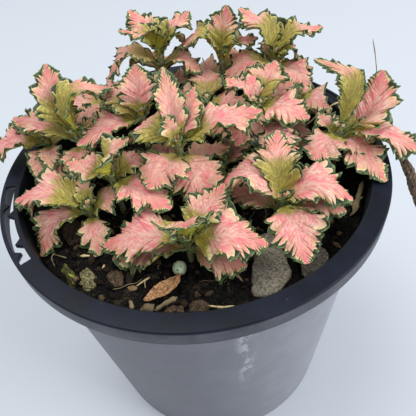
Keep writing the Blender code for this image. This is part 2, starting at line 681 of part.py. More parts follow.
def make_shoot(shoot, node, rows, finish):
    """A stem and its leaves joined in one solid; a slightly other stem mends a union that stays open."""
    for swelling in (1.0, 1.03, 0.97, 1.06, 0.94):
        stem = stem_solid(shoot, node, swelling)
        split_faces(stem)
        leaves = []
        for k, row in enumerate(rows):
            leaves.append(object_from(f"{shoot}_leaf_{k}", *leaf_solid(node, row, is_shaded(shoot, k))))
        if combine(stem, leaves, "UNION"):
            stem.data.materials.append(finish)
            return
        bpy.data.objects.remove(stem)
    print("no closed union for", shoot)


def main():
    clear_scene()
    make_pot()
    chips, cutters = make_bark()
    prill = ball("prill", PRILL_CENTRE, PRILL_RADIUS, material("prill", (0.45, 0.56, 0.42), 0.45))
    cutters.append(ball("prill_pocket", PRILL_CENTRE, PRILL_RADIUS + POCKET_CLEARANCE))
    dead_stem, dead_stem_hole = make_dead_stem()
    cutters.append(dead_stem_hole)
    cutters += [stem_hole(shoot, node) for shoot, (node, leaves) in SHOOTS.items()]
    soil = make_soil(cutters)
    pot = bpy.data.objects["pot"]
    solids = [object_tree(obj) for obj in [pot, soil, prill, dead_stem, *chips]]
    stems = {shoot: stem_solid(shoot, node) for shoot, (node, leaves) in SHOOTS.items()}
    rows = settle_leaves(solids, {shoot: object_tree(stem) for shoot, stem in stems.items()})
    for stem in stems.values():
        bpy.data.objects.remove(stem)
    leaf_finish = material("leaf", (0.78, 0.38, 0.33), 0.6)
    for shoot, (node, leaves) in SHOOTS.items():
        make_shoot(shoot, node, rows[shoot], leaf_finish)


main()
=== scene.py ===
# Potted nerve plant: pink, green-edged leaves on short shoots, in a dark nursery pot of bark mix.
import math

import bmesh
import bpy
import numpy as np
from mathutils import Matrix, Vector
from mathutils.bvhtree import BVHTree


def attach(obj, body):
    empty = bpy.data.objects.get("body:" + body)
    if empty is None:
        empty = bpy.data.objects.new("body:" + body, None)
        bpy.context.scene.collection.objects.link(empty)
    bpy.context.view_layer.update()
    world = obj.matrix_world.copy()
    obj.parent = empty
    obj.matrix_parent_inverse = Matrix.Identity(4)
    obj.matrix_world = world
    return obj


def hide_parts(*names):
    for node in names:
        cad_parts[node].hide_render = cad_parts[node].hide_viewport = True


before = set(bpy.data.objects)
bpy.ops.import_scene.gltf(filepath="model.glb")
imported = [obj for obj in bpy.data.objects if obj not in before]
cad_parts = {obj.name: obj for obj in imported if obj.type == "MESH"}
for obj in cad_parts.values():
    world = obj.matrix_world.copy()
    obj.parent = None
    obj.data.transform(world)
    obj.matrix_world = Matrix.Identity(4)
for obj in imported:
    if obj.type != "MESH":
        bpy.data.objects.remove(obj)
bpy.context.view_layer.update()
mm = 0.001

cameraView = dict(
    place=(0.0, -0.1231, 0.2306),
    ahead=(0.0202, 0.6846, -0.7286),
    right=(0.9897, -0.1172, -0.0826),
    focalPixels=430,
    framePixels=416,
    sensorWidth=36)


def linked(name, data):
    # A new object in the scene that holds the mesh, lens or lamp.
    made = bpy.data.objects.new(name, data)
    bpy.context.scene.collection.objects.link(made)
    return made


def makeCamera(view):
    # The focal length in millimetres is the sensor width times the focal length in frame widths.
    lens = bpy.data.cameras.new("camera")
    lens.sensor_width = view["sensorWidth"]
    lens.lens = view["sensorWidth"] * view["focalPixels"] / view["framePixels"]
    lens.clip_start = 0.005
    camera = linked("camera", lens)
    ahead = Vector(view["ahead"]).normalized()
    right = Vector(view["right"])
    right = (right - right.dot(ahead) * ahead).normalized()
    turn = Matrix((right, right.cross(ahead), -ahead)).transposed().to_4x4()
    turn.translation = Vector(view["place"])
    camera.matrix_world = turn
    bpy.context.scene.camera = camera


makeCamera(cameraView)
print("camera set")


class Wire:
    # A shader socket that can stand in a sum: each operator adds its Math node.
    def __init__(self, finish, socket):
        self.finish = finish
        self.socket = socket

    def maths(self, operation, *values):
        return self.finish.node("ShaderNodeMath", dict(operation=operation), dict(enumerate(values)))

    def __add__(self, other):
        return self.maths("ADD", self, other)

    def __sub__(self, other):
        return self.maths("SUBTRACT", self, other)

    def __rsub__(self, other):
        return self.maths("SUBTRACT", other, self)

    def __mul__(self, other):
        return self.maths("MULTIPLY", self, other)

    def __pow__(self, other):
        return self.maths("POWER", self, other)

    def __abs__(self):
        return self.maths("ABSOLUTE", self)

    __radd__ = __add__
    __rmul__ = __mul__

    def smooth(self, low, high):
        # Eases from 0 at low to 1 at high, and down again where high is under low.
        settings = dict(interpolation_type="SMOOTHSTEP")
        if low < high:
            return self.finish.node("ShaderNodeMapRange", settings, {0: self, 1: low, 2: high})
        return 1 - self.finish.node("ShaderNodeMapRange", settings, {0: self, 1: high, 2: low})


class Finish:
    # A Principled material, with short ways to add the nodes that vary it.
    def __init__(self, name, roughness=0.6, **constants):
        self.material = bpy.data.materials.new(name)
        self.material.use_nodes = True
        self.nodes = self.material.node_tree.nodes
        self.links = self.material.node_tree.links
        self.shader = self.nodes["Principled BSDF"]
        self.shader.inputs["Roughness"].default_value = roughness
        for socket, value in constants.items():
            self.shader.inputs[socket.replace("_", " ")].default_value = value

    def feed(self, socket, value):
        if isinstance(value, Wire):
            self.links.new(value.socket, socket)
        elif isinstance(value, tuple) and socket.type == "RGBA":
            socket.default_value = (*value, 1)
        else:
            socket.default_value = value

    def node(self, kind, settings=None, inputs=None, output=0):
        made = self.nodes.new(kind)
        for name, value in (settings or {}).items():
            setattr(made, name, value)
        for key, value in (inputs or {}).items():
            self.feed(made.inputs[key], value)
        return Wire(self, made.outputs[output])

    def attribute(self, name):
        return self.node("ShaderNodeAttribute", dict(attribute_name=name), output=2)

    def place(self):
        return self.node("ShaderNodeTexCoord", output=3)

    def vector(self, x, y, z):
        return self.node("ShaderNodeCombineXYZ", None, {0: x, 1: y, 2: z})

    def stretched(self, vector, factors):
        return self.node("ShaderNodeVectorMath", dict(operation="MULTIPLY"), {0: vector, 1: factors})

    def noise(self, vector, scale, detail=2.0, roughness=0.5, distortion=0.0):
        inputs = dict(Vector=vector, Scale=scale, Detail=detail, Roughness=roughness, Distortion=distortion)
        return self.node("ShaderNodeTexNoise", None, inputs)

    def cells(self, vector, scale):
        return self.node("ShaderNodeTexVoronoi", None, dict(Vector=vector, Scale=scale))

    def blend(self, share, first, second):
        return self.node("ShaderNodeMix", dict(data_type="RGBA"), {0: share, 6: first, 7: second}, output=2)

    def layers(self, colour, *coats):
        # Lays each coat over the colour so far; a coat is its share and its own colour.
        for share, coat in coats:
            colour = self.blend(share, colour, coat)
        return colour

    def paint(self, socket, value):
        self.feed(self.shader.inputs[socket], value)

    def bump(self, height, strength, distance):
        inputs = dict(Height=height, Strength=strength, Distance=distance)
        self.paint("Normal", self.node("ShaderNodeBump", None, inputs))


def tone(red, green, blue):
    # A display colour of 0 to 255 as linear light.
    share = np.array((red, green, blue)) / 255
    return tuple(float(x) for x in np.where(share > 0.04045, ((share + 0.055) / 1.055) ** 2.4, share / 12.92))


def dress(piece, slot, *nodes):
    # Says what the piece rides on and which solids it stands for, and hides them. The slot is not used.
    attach(piece, "root")
    if nodes:
        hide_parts(*nodes)


def giveValues(mesh, values):
    # Stores a number per point for each named value, which the finish reads.
    for key, numbers in values.items():
        layer = mesh.attributes.new(key, "FLOAT", "POINT")
        layer.data.foreach_set("value", np.ascontiguousarray(numbers, np.float32).ravel())


def addPiece(name, points, faces, values, finish, slot, *nodes, smooth=True):
    # One dressed object at the origin, with its place in its mesh. Points come in millimetres.
    mesh = bpy.data.meshes.new(name)
    faces = np.ascontiguousarray(faces, np.int32)
    mesh.vertices.add(len(points))
    mesh.vertices.foreach_set("co", np.ascontiguousarray(points * mm, np.float32).ravel())
    mesh.loops.add(faces.size)
    mesh.loops.foreach_set("vertex_index", faces.ravel())
    mesh.polygons.add(len(faces))
    mesh.polygons.foreach_set("loop_start", np.arange(0, faces.size, faces.shape[1], dtype=np.int32))
    mesh.polygons.foreach_set("use_smooth", np.full(len(faces), smooth))
    mesh.update(calc_edges=True)
    giveValues(mesh, values)
    mesh.materials.append(finish.material)
    dress(linked(name, mesh), slot, *nodes)


def outward(mesh):
    # Turns every face of a closed mesh outwards.
    work = bmesh.new()
    work.from_mesh(mesh)
    bmesh.ops.recalc_face_normals(work, faces=work.faces)
    work.to_mesh(mesh)
    work.free()


def cleanPiece(name, points, faces, values, finish):
    # An object whose fan faces lose their repeated corner and whose faces all point outwards.
    mesh = bpy.data.meshes.new(name)
    mesh.from_pydata((points * mm).tolist(), [], [tuple(dict.fromkeys(face)) for face in faces.tolist()])
    giveValues(mesh, values)
    mesh.materials.append(finish.material)
    outward(mesh)
    mesh.shade_smooth()
    return linked(name, mesh)


def fullTurn(count):
    # Equal steps round a circle, in radians.
    return 2 * math.pi * np.arange(count) / count


def gridFaces(rows, columns, wrap=False):
    # Four-sided faces between neighbouring rows and columns; wrap joins the last column to the first.
    across = columns if wrap else columns - 1
    i, j = np.meshgrid(np.arange(rows - 1), np.arange(across), indexing="ij")
    following = (j + 1) % columns
    corners = (i * columns + j, i * columns + following, (i + 1) * columns + following, (i + 1) * columns + j)
    return np.stack([corner.ravel() for corner in corners], 1)


def easedCurve(x, knots, heights):
    # A cubic through the knots, whose slope at each knot is that of the knots beside it.
    knots, heights = np.asarray(knots, float), np.asarray(heights, float)
    slopes = np.gradient(heights, knots)
    k = np.clip(np.searchsorted(knots, x, side="right") - 1, 0, len(knots) - 2)
    step = knots[k + 1] - knots[k]
    t = (x - knots[k]) / step
    return (heights[k] * (1 + 2 * t) * (1 - t) ** 2 + slopes[k] * step * t * (1 - t) ** 2
            + heights[k + 1] * t * t * (3 - 2 * t) - slopes[k + 1] * step * t * t * (1 - t))


def easedPath(run, knots, points):
    # The same cubic for x, y and z, through points in space.
    return np.stack([easedCurve(run, knots, axis) for axis in np.array(points, float).T], 1)


def softNoise(points, size, seed):
    # Smooth noise, mostly between -1 and 1: the sum of six waves in random directions, about as long as
    # the given size.
    draw = np.random.default_rng(seed)
    directions = draw.normal(size=(6, points.shape[1]))
    directions /= np.linalg.norm(directions, axis=1)[:, None]
    directions *= draw.uniform(0.7, 1.6, 6)[:, None] * 2 * math.pi / size
    shifts = draw.uniform(0, 2 * math.pi, 6)
    return np.sin(points @ directions.T + shifts).sum(axis=1) / 3.5


# Leaves: the blade's outline, its cut edge and how it ruffles, in millimetres and shares
leafForm = dict(
    along=(0.00, 0.10, 0.25, 0.40, 0.55, 0.70, 0.84, 0.93, 1.00),
    width=(0.12, 0.20, 0.70, 1.00, 1.06, 0.94, 0.67, 0.42, 0.12),
    rootFold=50, tipFold=-10,
    slant=0.27,  # how far a side vein runs forward, as a share of the length
    veinSway=0.022,
    foldStart=0.85, foldSpread=0.3,  # the part of the fold at the midrib, and what the edge adds to it
    toothGap=1.30, leastTeeth=7,
    toothDepth=0.95, toothLengths=(0.15, 1.35),
    slotDepth=1.3, slotChances=(-1.2, 1.1),  # a notch whose draw is under 0 has no slot
    lobes=5.5, lobeDepth=0.14,
    veins=6,
    rimWidth=0.66,
    pocketWidth=2.3, pocketSizes=(0.1, 1.0),
    ruffle=0.7, crinkle=0.48, wave=1.12, quilt=0.42, ripple=0.40,
    pitDepth=1.0, pitPlace=0.9, pitWidth=0.5,  # a pit lies that far inside each notch
    groove=0.3, grooveWidth=0.8,
    thickness=0.34, rootSwell=0.5,
    rib=0.35, ribWidth=0.7,
    stepsPerTooth=6, columns=19,
    lowStepsPerTooth=4, lowColumns=11,
    budSteps=3, budColumns=9)

# The plainer blades that the solids have, which decide how far each leaf bends clear of the others
solidForm = dict(
    thickness=0.7,
    width=(0.14, 0.22, 0.66, 0.97, 1.00, 0.77, 0.44, 0.22, 0.05),
    stations=(0.0, 0.27, 0.41, 0.55, 0.68, 0.84, 1.0),
    scales=(1.0, 1.12, 0.86, 1.10, 0.84, 1.10, 1.0),
    lowStations=(0.0, 0.30, 0.52, 0.78, 1.0),
    lowScales=(1.0, 1.0, 1.0, 1.05, 1.0),
    shadedFrom=4,  # leaves from this rank on, and all of the low shoots, are plainer
    lowShoots=("shoot_15", "shoot_16", "shoot_17"),
    stemDepth=14,
    clearance=0.3,
    turns=(0, 6, -6, 12, -12, 18, -18, 24, -24),
    lifts=(0, 5, -5, 10, -10, 16, -16, 22, -22),
    lengths=(1.0, 0.9, 0.8, 0.7),
    crossingCost=2.5)

# Each shoot: the place of its top node, then a row for each leaf with its drop below the node, its
# direction, its slope at the root and at the tip, its length, its width, the angle by which each half
# folds up and, on some, how far the direction swings round to the tip.
shoots = {
    "shoot_01": ((-5, -38, 127), [
        (0, -18, 28, -18, 26, 17, 12), (0, 170, 20, -30, 29, 18, 8), (1, 45, 38, 15, 22, 13, 26),
        (1, -84, 92, 34, 23, 15, 12), (4, 176, 4, -14, 25, 15, 20), (4, -26, -2, -14, 19, 15, 10)]),
    "shoot_02": ((27, -29, 128), [
        (0, -85, 14, -26, 24, 16, 15), (0, 152, 66, -50, 31, 17, 15), (1, -12, 58, -46, 29, 16, 12),
        (1, 100, 62, 10, 26, 14, 28, -25), (3, -18, 36, -25, 22, 14, 26), (4, 150, 22, 5, 20, 13, 30)]),
    "shoot_03": ((-38, -16, 124), [
        (0, 170, 52, -28, 30, 16, 15), (0, -166, 20, -40, 28, 14, 20, 40), (2, 14, 38, 16, 19, 16, 10),
        (2, -80, 2, -35, 17, 10, 10), (1, 100, 62, 45, 14, 8, 30), (3, 130, 25, 5, 21, 12, 20)]),
    "shoot_04": ((53, -4, 133), [
        (0, 40, 62, 5, 35, 10, 28, 100), (0, 12, 20, 52, 28, 16, 28, 50), (1, -28, 18, -18, 29, 16, 28),
        (1, -138, 15, -15, 17, 15, 10), (1, -60, 14, -10, 14, 14, 10), (3, -68, 14, -22, 25, 13, 10),
        (1, 130, 42, 30, 11, 9, 20)]),
    "shoot_05": ((-7, 44, 146), [
        (0, 138, 76, 34, 22, 15, 28), (0, 35, 66, 30, 22, 14, 28), (1, -165, 78, 20, 23, 12, 65),
        (1, 17, 66, -45, 20, 12, 30), (4, -24, 38, -50, 20, 14, 15), (4, -178, 42, -52, 29, 15, 15),
        (6, 138, 20, -8, 18, 12, 28), (9, 80, 20, -25, 20, 14, 20), (12, -140, 15, -15, 22, 14, 10),
        (14, 130, 5, -15, 20, 13, 20), (13, 20, 12, -15, 20, 13, 20)]),
    "shoot_06": ((39, 38, 142), [
        (0, 136, 72, 20, 25, 14, 28), (0, 2, 62, -5, 24, 14, 28), (1, -10, 72, -70, 18, 12, 10),
        (3, -48, 16, -40, 20, 15, 10), (3, -165, 34, -45, 27, 15, 15), (4, 75, 40, -15, 18, 13, 20),
        (8, 20, 10, -20, 20, 13, 20), (10, 100, 10, -15, 19, 13, 20), (10, -110, 10, -20, 22, 14, 10)]),
    "shoot_07": ((18, 42, 142), [
        (0, 165, 72, -40, 26, 14, 28), (0, 50, 84, 66, 21, 14, 28), (1, 0, 62, 0, 19, 12, 30),
        (4, 30, 20, -5, 18, 12, 26), (7, -150, 10, -35, 22, 14, 10), (8, 140, 15, -15, 20, 13, 20),
        (9, -30, 8, -20, 20, 13, 10)]),
    "shoot_08": ((-4, -8, 140), [
        (0, 6, 34, -4, 31, 17, 15), (0, 95, 66, 42, 26, 10, 28), (1, 58, 56, 34, 21, 12, 25),
        (1, 144, 46, -52, 26, 16, 10), (3, -126, 2, -22, 19, 17, 10), (3, -68, 8, -30, 22, 17, 10),
        (1, 130, 72, 60, 13, 10, 26), (8, 30, 2, -15, 22, 13, 10), (9, 120, 5, -15, 20, 13, 10)]),
    "shoot_09": ((-28, -11, 133), [
        (0, -10, 95, 30, 21, 13, 28), (0, 165, 40, 5, 16, 13, 20), (1, -44, 12, -15, 27, 15, 10),
        (1, 20, 45, -10, 17, 12, 10), (5, 100, 15, -10, 20, 13, 10)]),
    "shoot_10": ((-40, 8, 138), [
        (0, 136, 58, 52, 27, 14, 25, -45), (0, 36, 95, -30, 33, 13, 35), (2, 158, 36, -5, 27, 15, 10),
        (3, -95, 4, -25, 16, 11, 10), (1, 0, 42, 40, 13, 8, 30), (4, 75, 32, -10, 23, 14, 15),
        (6, -135, 5, -22, 18, 12, 10)]),
    "shoot_11": ((-16, 9, 142), [
        (0, -158, 14, -18, 25, 15, 10), (0, 80, 76, 58, 18, 14, 20), (1, 40, 68, 50, 18, 10, 28),
        (2, -40, 20, -8, 14, 10, 20), (3, 134, 66, -10, 23, 14, 15), (5, 105, 35, -15, 24, 13, 20)]),
    "shoot_12": ((26, 8, 140), [
        (0, 52, 56, 20, 19, 14, 26), (0, 140, 60, 10, 16, 14, 35), (0, -35, 20, -16, 20, 17, 15),
        (1, -123, 18, -36, 20, 15, 15), (2, -82, 14, -30, 28, 15, 10), (4, 40, 28, -5, 22, 15, 10),
        (7, 175, 5, -15, 20, 13, 10)]),
    "shoot_13": ((43, 15, 136), [
        (0, -35, 30, -32, 13, 14, 10), (1, 160, 25, -10, 16, 14, 10), (0, 60, 25, -15, 11, 9, 10),
        (2, -150, 10, -20, 14, 12, 10), (5, 0, 10, -15, 14, 12, 10), (7, -112, 5, -12, 25, 13, 10)]),
    "shoot_14": ((-54, 16, 131), [
        (0, 180, 22, -26, 26, 17, 10), (0, 140, 42, 8, 18, 10, 26), (1, -105, 15, -28, 16, 10, 10),
        (1, -78, 15, -24, 17, 9, 10), (3, 78, 28, -10, 22, 13, 10)]),
    "shoot_15": ((10, -6, 125), [
        (0, -150, 15, -10, 20, 13, 10), (0, 60, 12, -8, 22, 13, 10), (1, -55, 10, -10, 20, 13, 10),
        (1, 150, 15, -8, 18, 12, 10)]),
    "shoot_16": ((-32, 38, 130), [
        (0, 172, 22, -18, 24, 14, 10), (0, 60, 25, -15, 22, 14, 10), (1, 115, 28, -18, 22, 14, 10),
        (2, -110, 12, -12, 18, 13, 10), (2, -20, 15, -12, 18, 12, 10)]),
    "shoot_17": ((9, 26, 132), [
        (0, 165, 28, -15, 18, 13, 15), (0, -15, 22, -18, 18, 13, 10), (0, 80, 45, -5, 19, 14, 20),
        (1, -125, 15, -18, 16, 12, 10), (1, -70, 18, -16, 15, 12, 10)]),
}

# The share of the blade that is olive at its root, where it isn't worked out from the slope
rootShares = {
    ("shoot_08", 1): 0.30, ("shoot_08", 2): 0.12, ("shoot_08", 3): 0.50, ("shoot_03", 0): 0.46,
    ("shoot_03", 1): 0.26, ("shoot_01", 1): 0.26, ("shoot_02", 1): 0.22, ("shoot_02", 2): 0.20,
    ("shoot_02", 4): 0.30, ("shoot_12", 1): 0.15, ("shoot_11", 1): 0.30}

# The mix, and the pot's inside that it fills, as the solids have them
mixForm = dict(level=116, radius=63.5, baseRadius=56.5, wall=1.2, floor=1.8, potHeight=127.5)


def mixHeight(x, y):
    # Level, two crossing waves and a slight mound in the middle, all in millimetres.
    waves = 1.1 * np.sin(x / 11 + 1.0) * np.cos(y / 13) + 0.5 * np.sin(x / 5.7 + y / 7.1)
    mound = 1.5 * (1 - (x * x + y * y) / mixForm["radius"] ** 2)
    return mixForm["level"] + waves + mound - 0.5


def midribLine(node, row):
    # Steps of equal length follow a slope and a heading that ease from the root's to the tip's. A sine
    # that varies fast with the direction scatters the heights at which leaves join the stem.
    drop, turn, rise, end, length = row[:5]
    drop += 0.4 * math.sin(1.7 * turn)
    swing = row[7] if len(row) > 7 else 0
    count = 64
    along = np.linspace(0, 1, count + 1)
    ease = np.clip((along - 0.15) / 0.7, 0, 1)
    ease = ease * ease * (3 - 2 * ease)
    slope = np.radians(rise + (end - rise) * ease)
    heading = np.radians(turn + swing * ease)
    step = np.stack([np.cos(slope) * np.cos(heading), np.cos(slope) * np.sin(heading), np.sin(slope)], 1)
    run = np.cumsum((step[1:] + step[:-1]) / 2 * length / count, axis=0)
    offset = 0.35  # millimetres from the stem's middle to the root of the midrib
    start = np.array(node) + (offset * math.cos(heading[0]), offset * math.sin(heading[0]), -drop)
    return along, np.vstack([np.zeros(3), run]) + start, slope, heading


def bladeFrame(node, row, stations):
    # Midrib point, sideways and upward directions and fold at each station along the leaf.
    along, line, slope, heading = midribLine(node, row)
    centre = np.stack([np.interp(stations, along, line[:, k]) for k in range(3)], -1)
    slope = np.interp(stations, along, slope)
    heading = np.interp(stations, along, heading)
    side = np.stack([-np.sin(heading), np.cos(heading), np.zeros(heading.shape)], -1)
    over = np.stack([-np.sin(slope) * np.cos(heading), -np.sin(slope) * np.sin(heading), np.cos(slope)], -1)
    bends = (max(leafForm["rootFold"], row[6]), row[6], row[6], leafForm["tipFold"], leafForm["tipFold"])
    folds = np.radians(np.interp(stations, (0, 0.22, 0.5, 0.74, 1), bends))
    return centre, side, over, folds


def plainBlade(node, row, shaded):
    # The solid's blade: left edge, midrib and right edge at each station, and the same points below.
    stations = np.array(solidForm["lowStations" if shaded else "stations"])
    scales = np.array(solidForm["lowScales" if shaded else "scales"])
    centre, side, over, folds = bladeFrame(node, row, stations)
    half = np.interp(stations, leafForm["along"], solidForm["width"]) * row[5] / 2 * scales
    out = (half * np.cos(folds))[:, None] * side
    up = (half * np.sin(folds))[:, None] * over
    upper = np.stack([centre + out + up, centre, centre - out + up], 1)
    lean = np.sin(folds)[:, None] * side
    flat = np.cos(folds)[:, None] * over
    depth = solidForm["thickness"]
    lower = np.stack([upper[:, 0] - depth * (flat - lean), centre - depth * over / np.cos(folds)[:, None],
                      upper[:, 2] - depth * (flat + lean)], 1)
    return np.vstack([upper.reshape(-1, 3), lower.reshape(-1, 3)])


def plainFaces(first, last, lower):
    # Faces of the plain blade between two stations, split alike above and below.
    faces = []
    for i in range(first, last):
        for j in range(2):
            a, b = 3 * i + j, 3 * i + 3 + j
            for start, sense in ((0, 1), (lower, -1)):
                faces.append((start + a, start + a + 1, start + b + 1)[::sense])
                faces.append((start + a, start + b + 1, start + b)[::sense])
        for j in (0, 2):
            a, b = 3 * i + j, 3 * i + 3 + j
            faces.append((a, b, lower + b))
            faces.append((a, lower + b, lower + a))
    for i in (first, last):
        for j in range(2):
            a = 3 * i + j
            faces.append((a, a + 1, lower + a + 1))
            faces.append((a, lower + a + 1, lower + a))
    return faces


def searchTree(points, faces):
    # Points come in millimetres; surfaces within the clearance count as touching.
    corners = [Vector(point) for point in np.asarray(points) * mm]
    return BVHTree.FromPolygons(corners, faces, epsilon=solidForm["clearance"] * mm)


def nodeTree(name):
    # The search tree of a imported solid.
    mesh = bpy.data.objects[name].data
    points = np.array([vertex.co for vertex in mesh.vertices]) / mm
    return searchTree(points, [tuple(face.vertices) for face in mesh.polygons])


def stemTree(node):
    # The search tree of a shoot's plain stem.
    path, radii = stemCourse(node)
    points, faces = ringTube(path, radii, 7)
    return searchTree(points, [tuple(int(k) for k in face) for face in faces])


def stemCourse(node):
    # From the foot in the mix up to the swollen node at the top, with the radius at each height.
    x, y, z = node
    foot = mixHeight(x, y) - solidForm["stemDepth"]
    heights = (foot, z - 3.0, z - 1.4, z + 0.4, z + 1.8, z + 2.6)
    path = np.array([(x, y, height) for height in heights])
    return path, 1.1 * np.array((1.27, 1.15, 1.8, 2.0, 1.5, 0.6))


def ringTube(path, radii, sides):
    # Point = path point + radius times (across cos a + over sin a), with a flat fan at both ends. The
    # radius may change along the path and round it.
    tangents = np.gradient(path, axis=0)
    tangents /= np.linalg.norm(tangents, axis=1)[:, None]
    across = np.cross(tangents, (0.31, 0.95, 0.05))  # a direction that no piece's path follows
    across /= np.linalg.norm(across, axis=1)[:, None]
    over = np.cross(tangents, across)
    turn = fullTurn(sides)
    radii = np.broadcast_to(np.asarray(radii, float).reshape(len(path), -1), (len(path), sides))
    rings = (path[:, None] + (radii * np.cos(turn))[..., None] * across[:, None]
             + (radii * np.sin(turn))[..., None] * over[:, None])
    return cappedGrid(rings)


def cappedGrid(rings):
    # Faces between neighbouring rings, and a flat fan to the middle of the first and the last ring.
    count, sides = rings.shape[:2]
    points = np.vstack([rings.reshape(-1, 3), rings[0].mean(axis=0), rings[-1].mean(axis=0)])
    k = np.arange(sides)
    following = (k + 1) % sides
    middle = np.full(sides, count * sides)
    base = count * sides - sides
    first = np.stack([following, k, middle, middle], 1)
    last = np.stack([base + k, base + following, middle + 1, middle + 1], 1)
    return points, np.vstack([gridFaces(count, sides, wrap=True), first, last])


class PlainLeaf:
    # Search trees of one plain blade: all of it, and the part past the crowded roots.
    def __init__(self, shoot, node, row, shaded):
        points = plainBlade(node, row, shaded)
        last = len(points) // 6 - 1
        self.shoot = shoot
        self.middle = points.mean(axis=0)
        self.reach = np.linalg.norm(points - self.middle, axis=1).max()
        self.whole = searchTree(points, plainFaces(0, last, len(points) // 2))
        self.outer = searchTree(points, plainFaces(last // 3, last, len(points) // 2))

    def crosses(self, other):
        if np.linalg.norm(self.middle - other.middle) > self.reach + other.reach:
            return False
        if self.shoot == other.shoot:
            return bool(self.outer.overlap(other.outer))
        return bool(self.whole.overlap(other.whole))


def bendCost(turn, lift, scale):
    return abs(turn) / 6 + abs(lift) / 5 + 30 * (1 - scale)


def bendClear(shoot, node, row, shaded, placed, solids, stems):
    # The mildest turn, lift and shortening that clear the other shoots, the solids and the stems.
    drop, turn, rise, end, length, width, fold, *swing = row
    tries = [(extra, lift, scale) for extra in solidForm["turns"] for lift in solidForm["lifts"]
             for scale in solidForm["lengths"]]
    best = (math.inf, None, None)
    for extra, lift, scale in sorted(tries, key=lambda one: bendCost(*one)):
        cost = bendCost(extra, lift, scale)
        if cost >= best[0]:
            break
        bent = (drop, turn + extra, rise + lift, end + lift, length * scale, width * scale, fold, *swing)
        leaf = PlainLeaf(shoot, node, bent, shaded)
        if any(leaf.whole.overlap(tree) for tree in solids):
            continue
        if any(leaf.whole.overlap(tree) for name, tree in stems.items() if name != shoot):
            continue
        crossed = [other for other in placed if leaf.crosses(other)]
        if any(other.shoot != shoot for other in crossed):
            continue
        cost += solidForm["crossingCost"] * len(crossed)
        if cost < best[0]:
            best = (cost, bent, leaf)
    return best[1:]


def settleLeaves():
    # Rank by rank: each shoot's most visible leaf first, as in the solids.
    solids = [nodeTree(name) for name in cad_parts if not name.startswith("shoot")]
    stems = {shoot: stemTree(node) for shoot, (node, leaves) in shoots.items()}
    placed = []
    rows = {shoot: [] for shoot in shoots}
    for rank in range(max(len(leaves) for node, leaves in shoots.values())):
        for shoot, (node, leaves) in shoots.items():
            if rank >= len(leaves):
                continue
            shaded = rank >= solidForm["shadedFrom"] or shoot in solidForm["lowShoots"]
            bent, leaf = bendClear(shoot, node, leaves[rank], shaded, placed, solids, stems)
            if bent:
                rows[shoot].append((rank, bent))
                placed.append(leaf)
    return rows


def bladeTeeth(draw, teeth, t, side):
    # The phase counts the teeth from the root, half a tooth apart on the two sides. From it come the
    # nearness of a notch (1 in it and 0 at a tooth), and the drawn tooth length, slot and green pocket.
    phase = teeth * t + 0.5 * side
    near = 2 * np.abs(phase - np.round(phase))
    notch = np.floor(phase).astype(int)
    both = (2, teeth + 3)
    tips = draw.uniform(*leafForm["toothLengths"], both)[side, np.round(phase).astype(int)]
    slots = np.clip(draw.uniform(*leafForm["slotChances"], both), 0, 1)[side, notch]
    pockets = draw.uniform(*leafForm["pocketSizes"], both)[side, notch] ** 2.2
    return phase, near, tips, slots, pockets


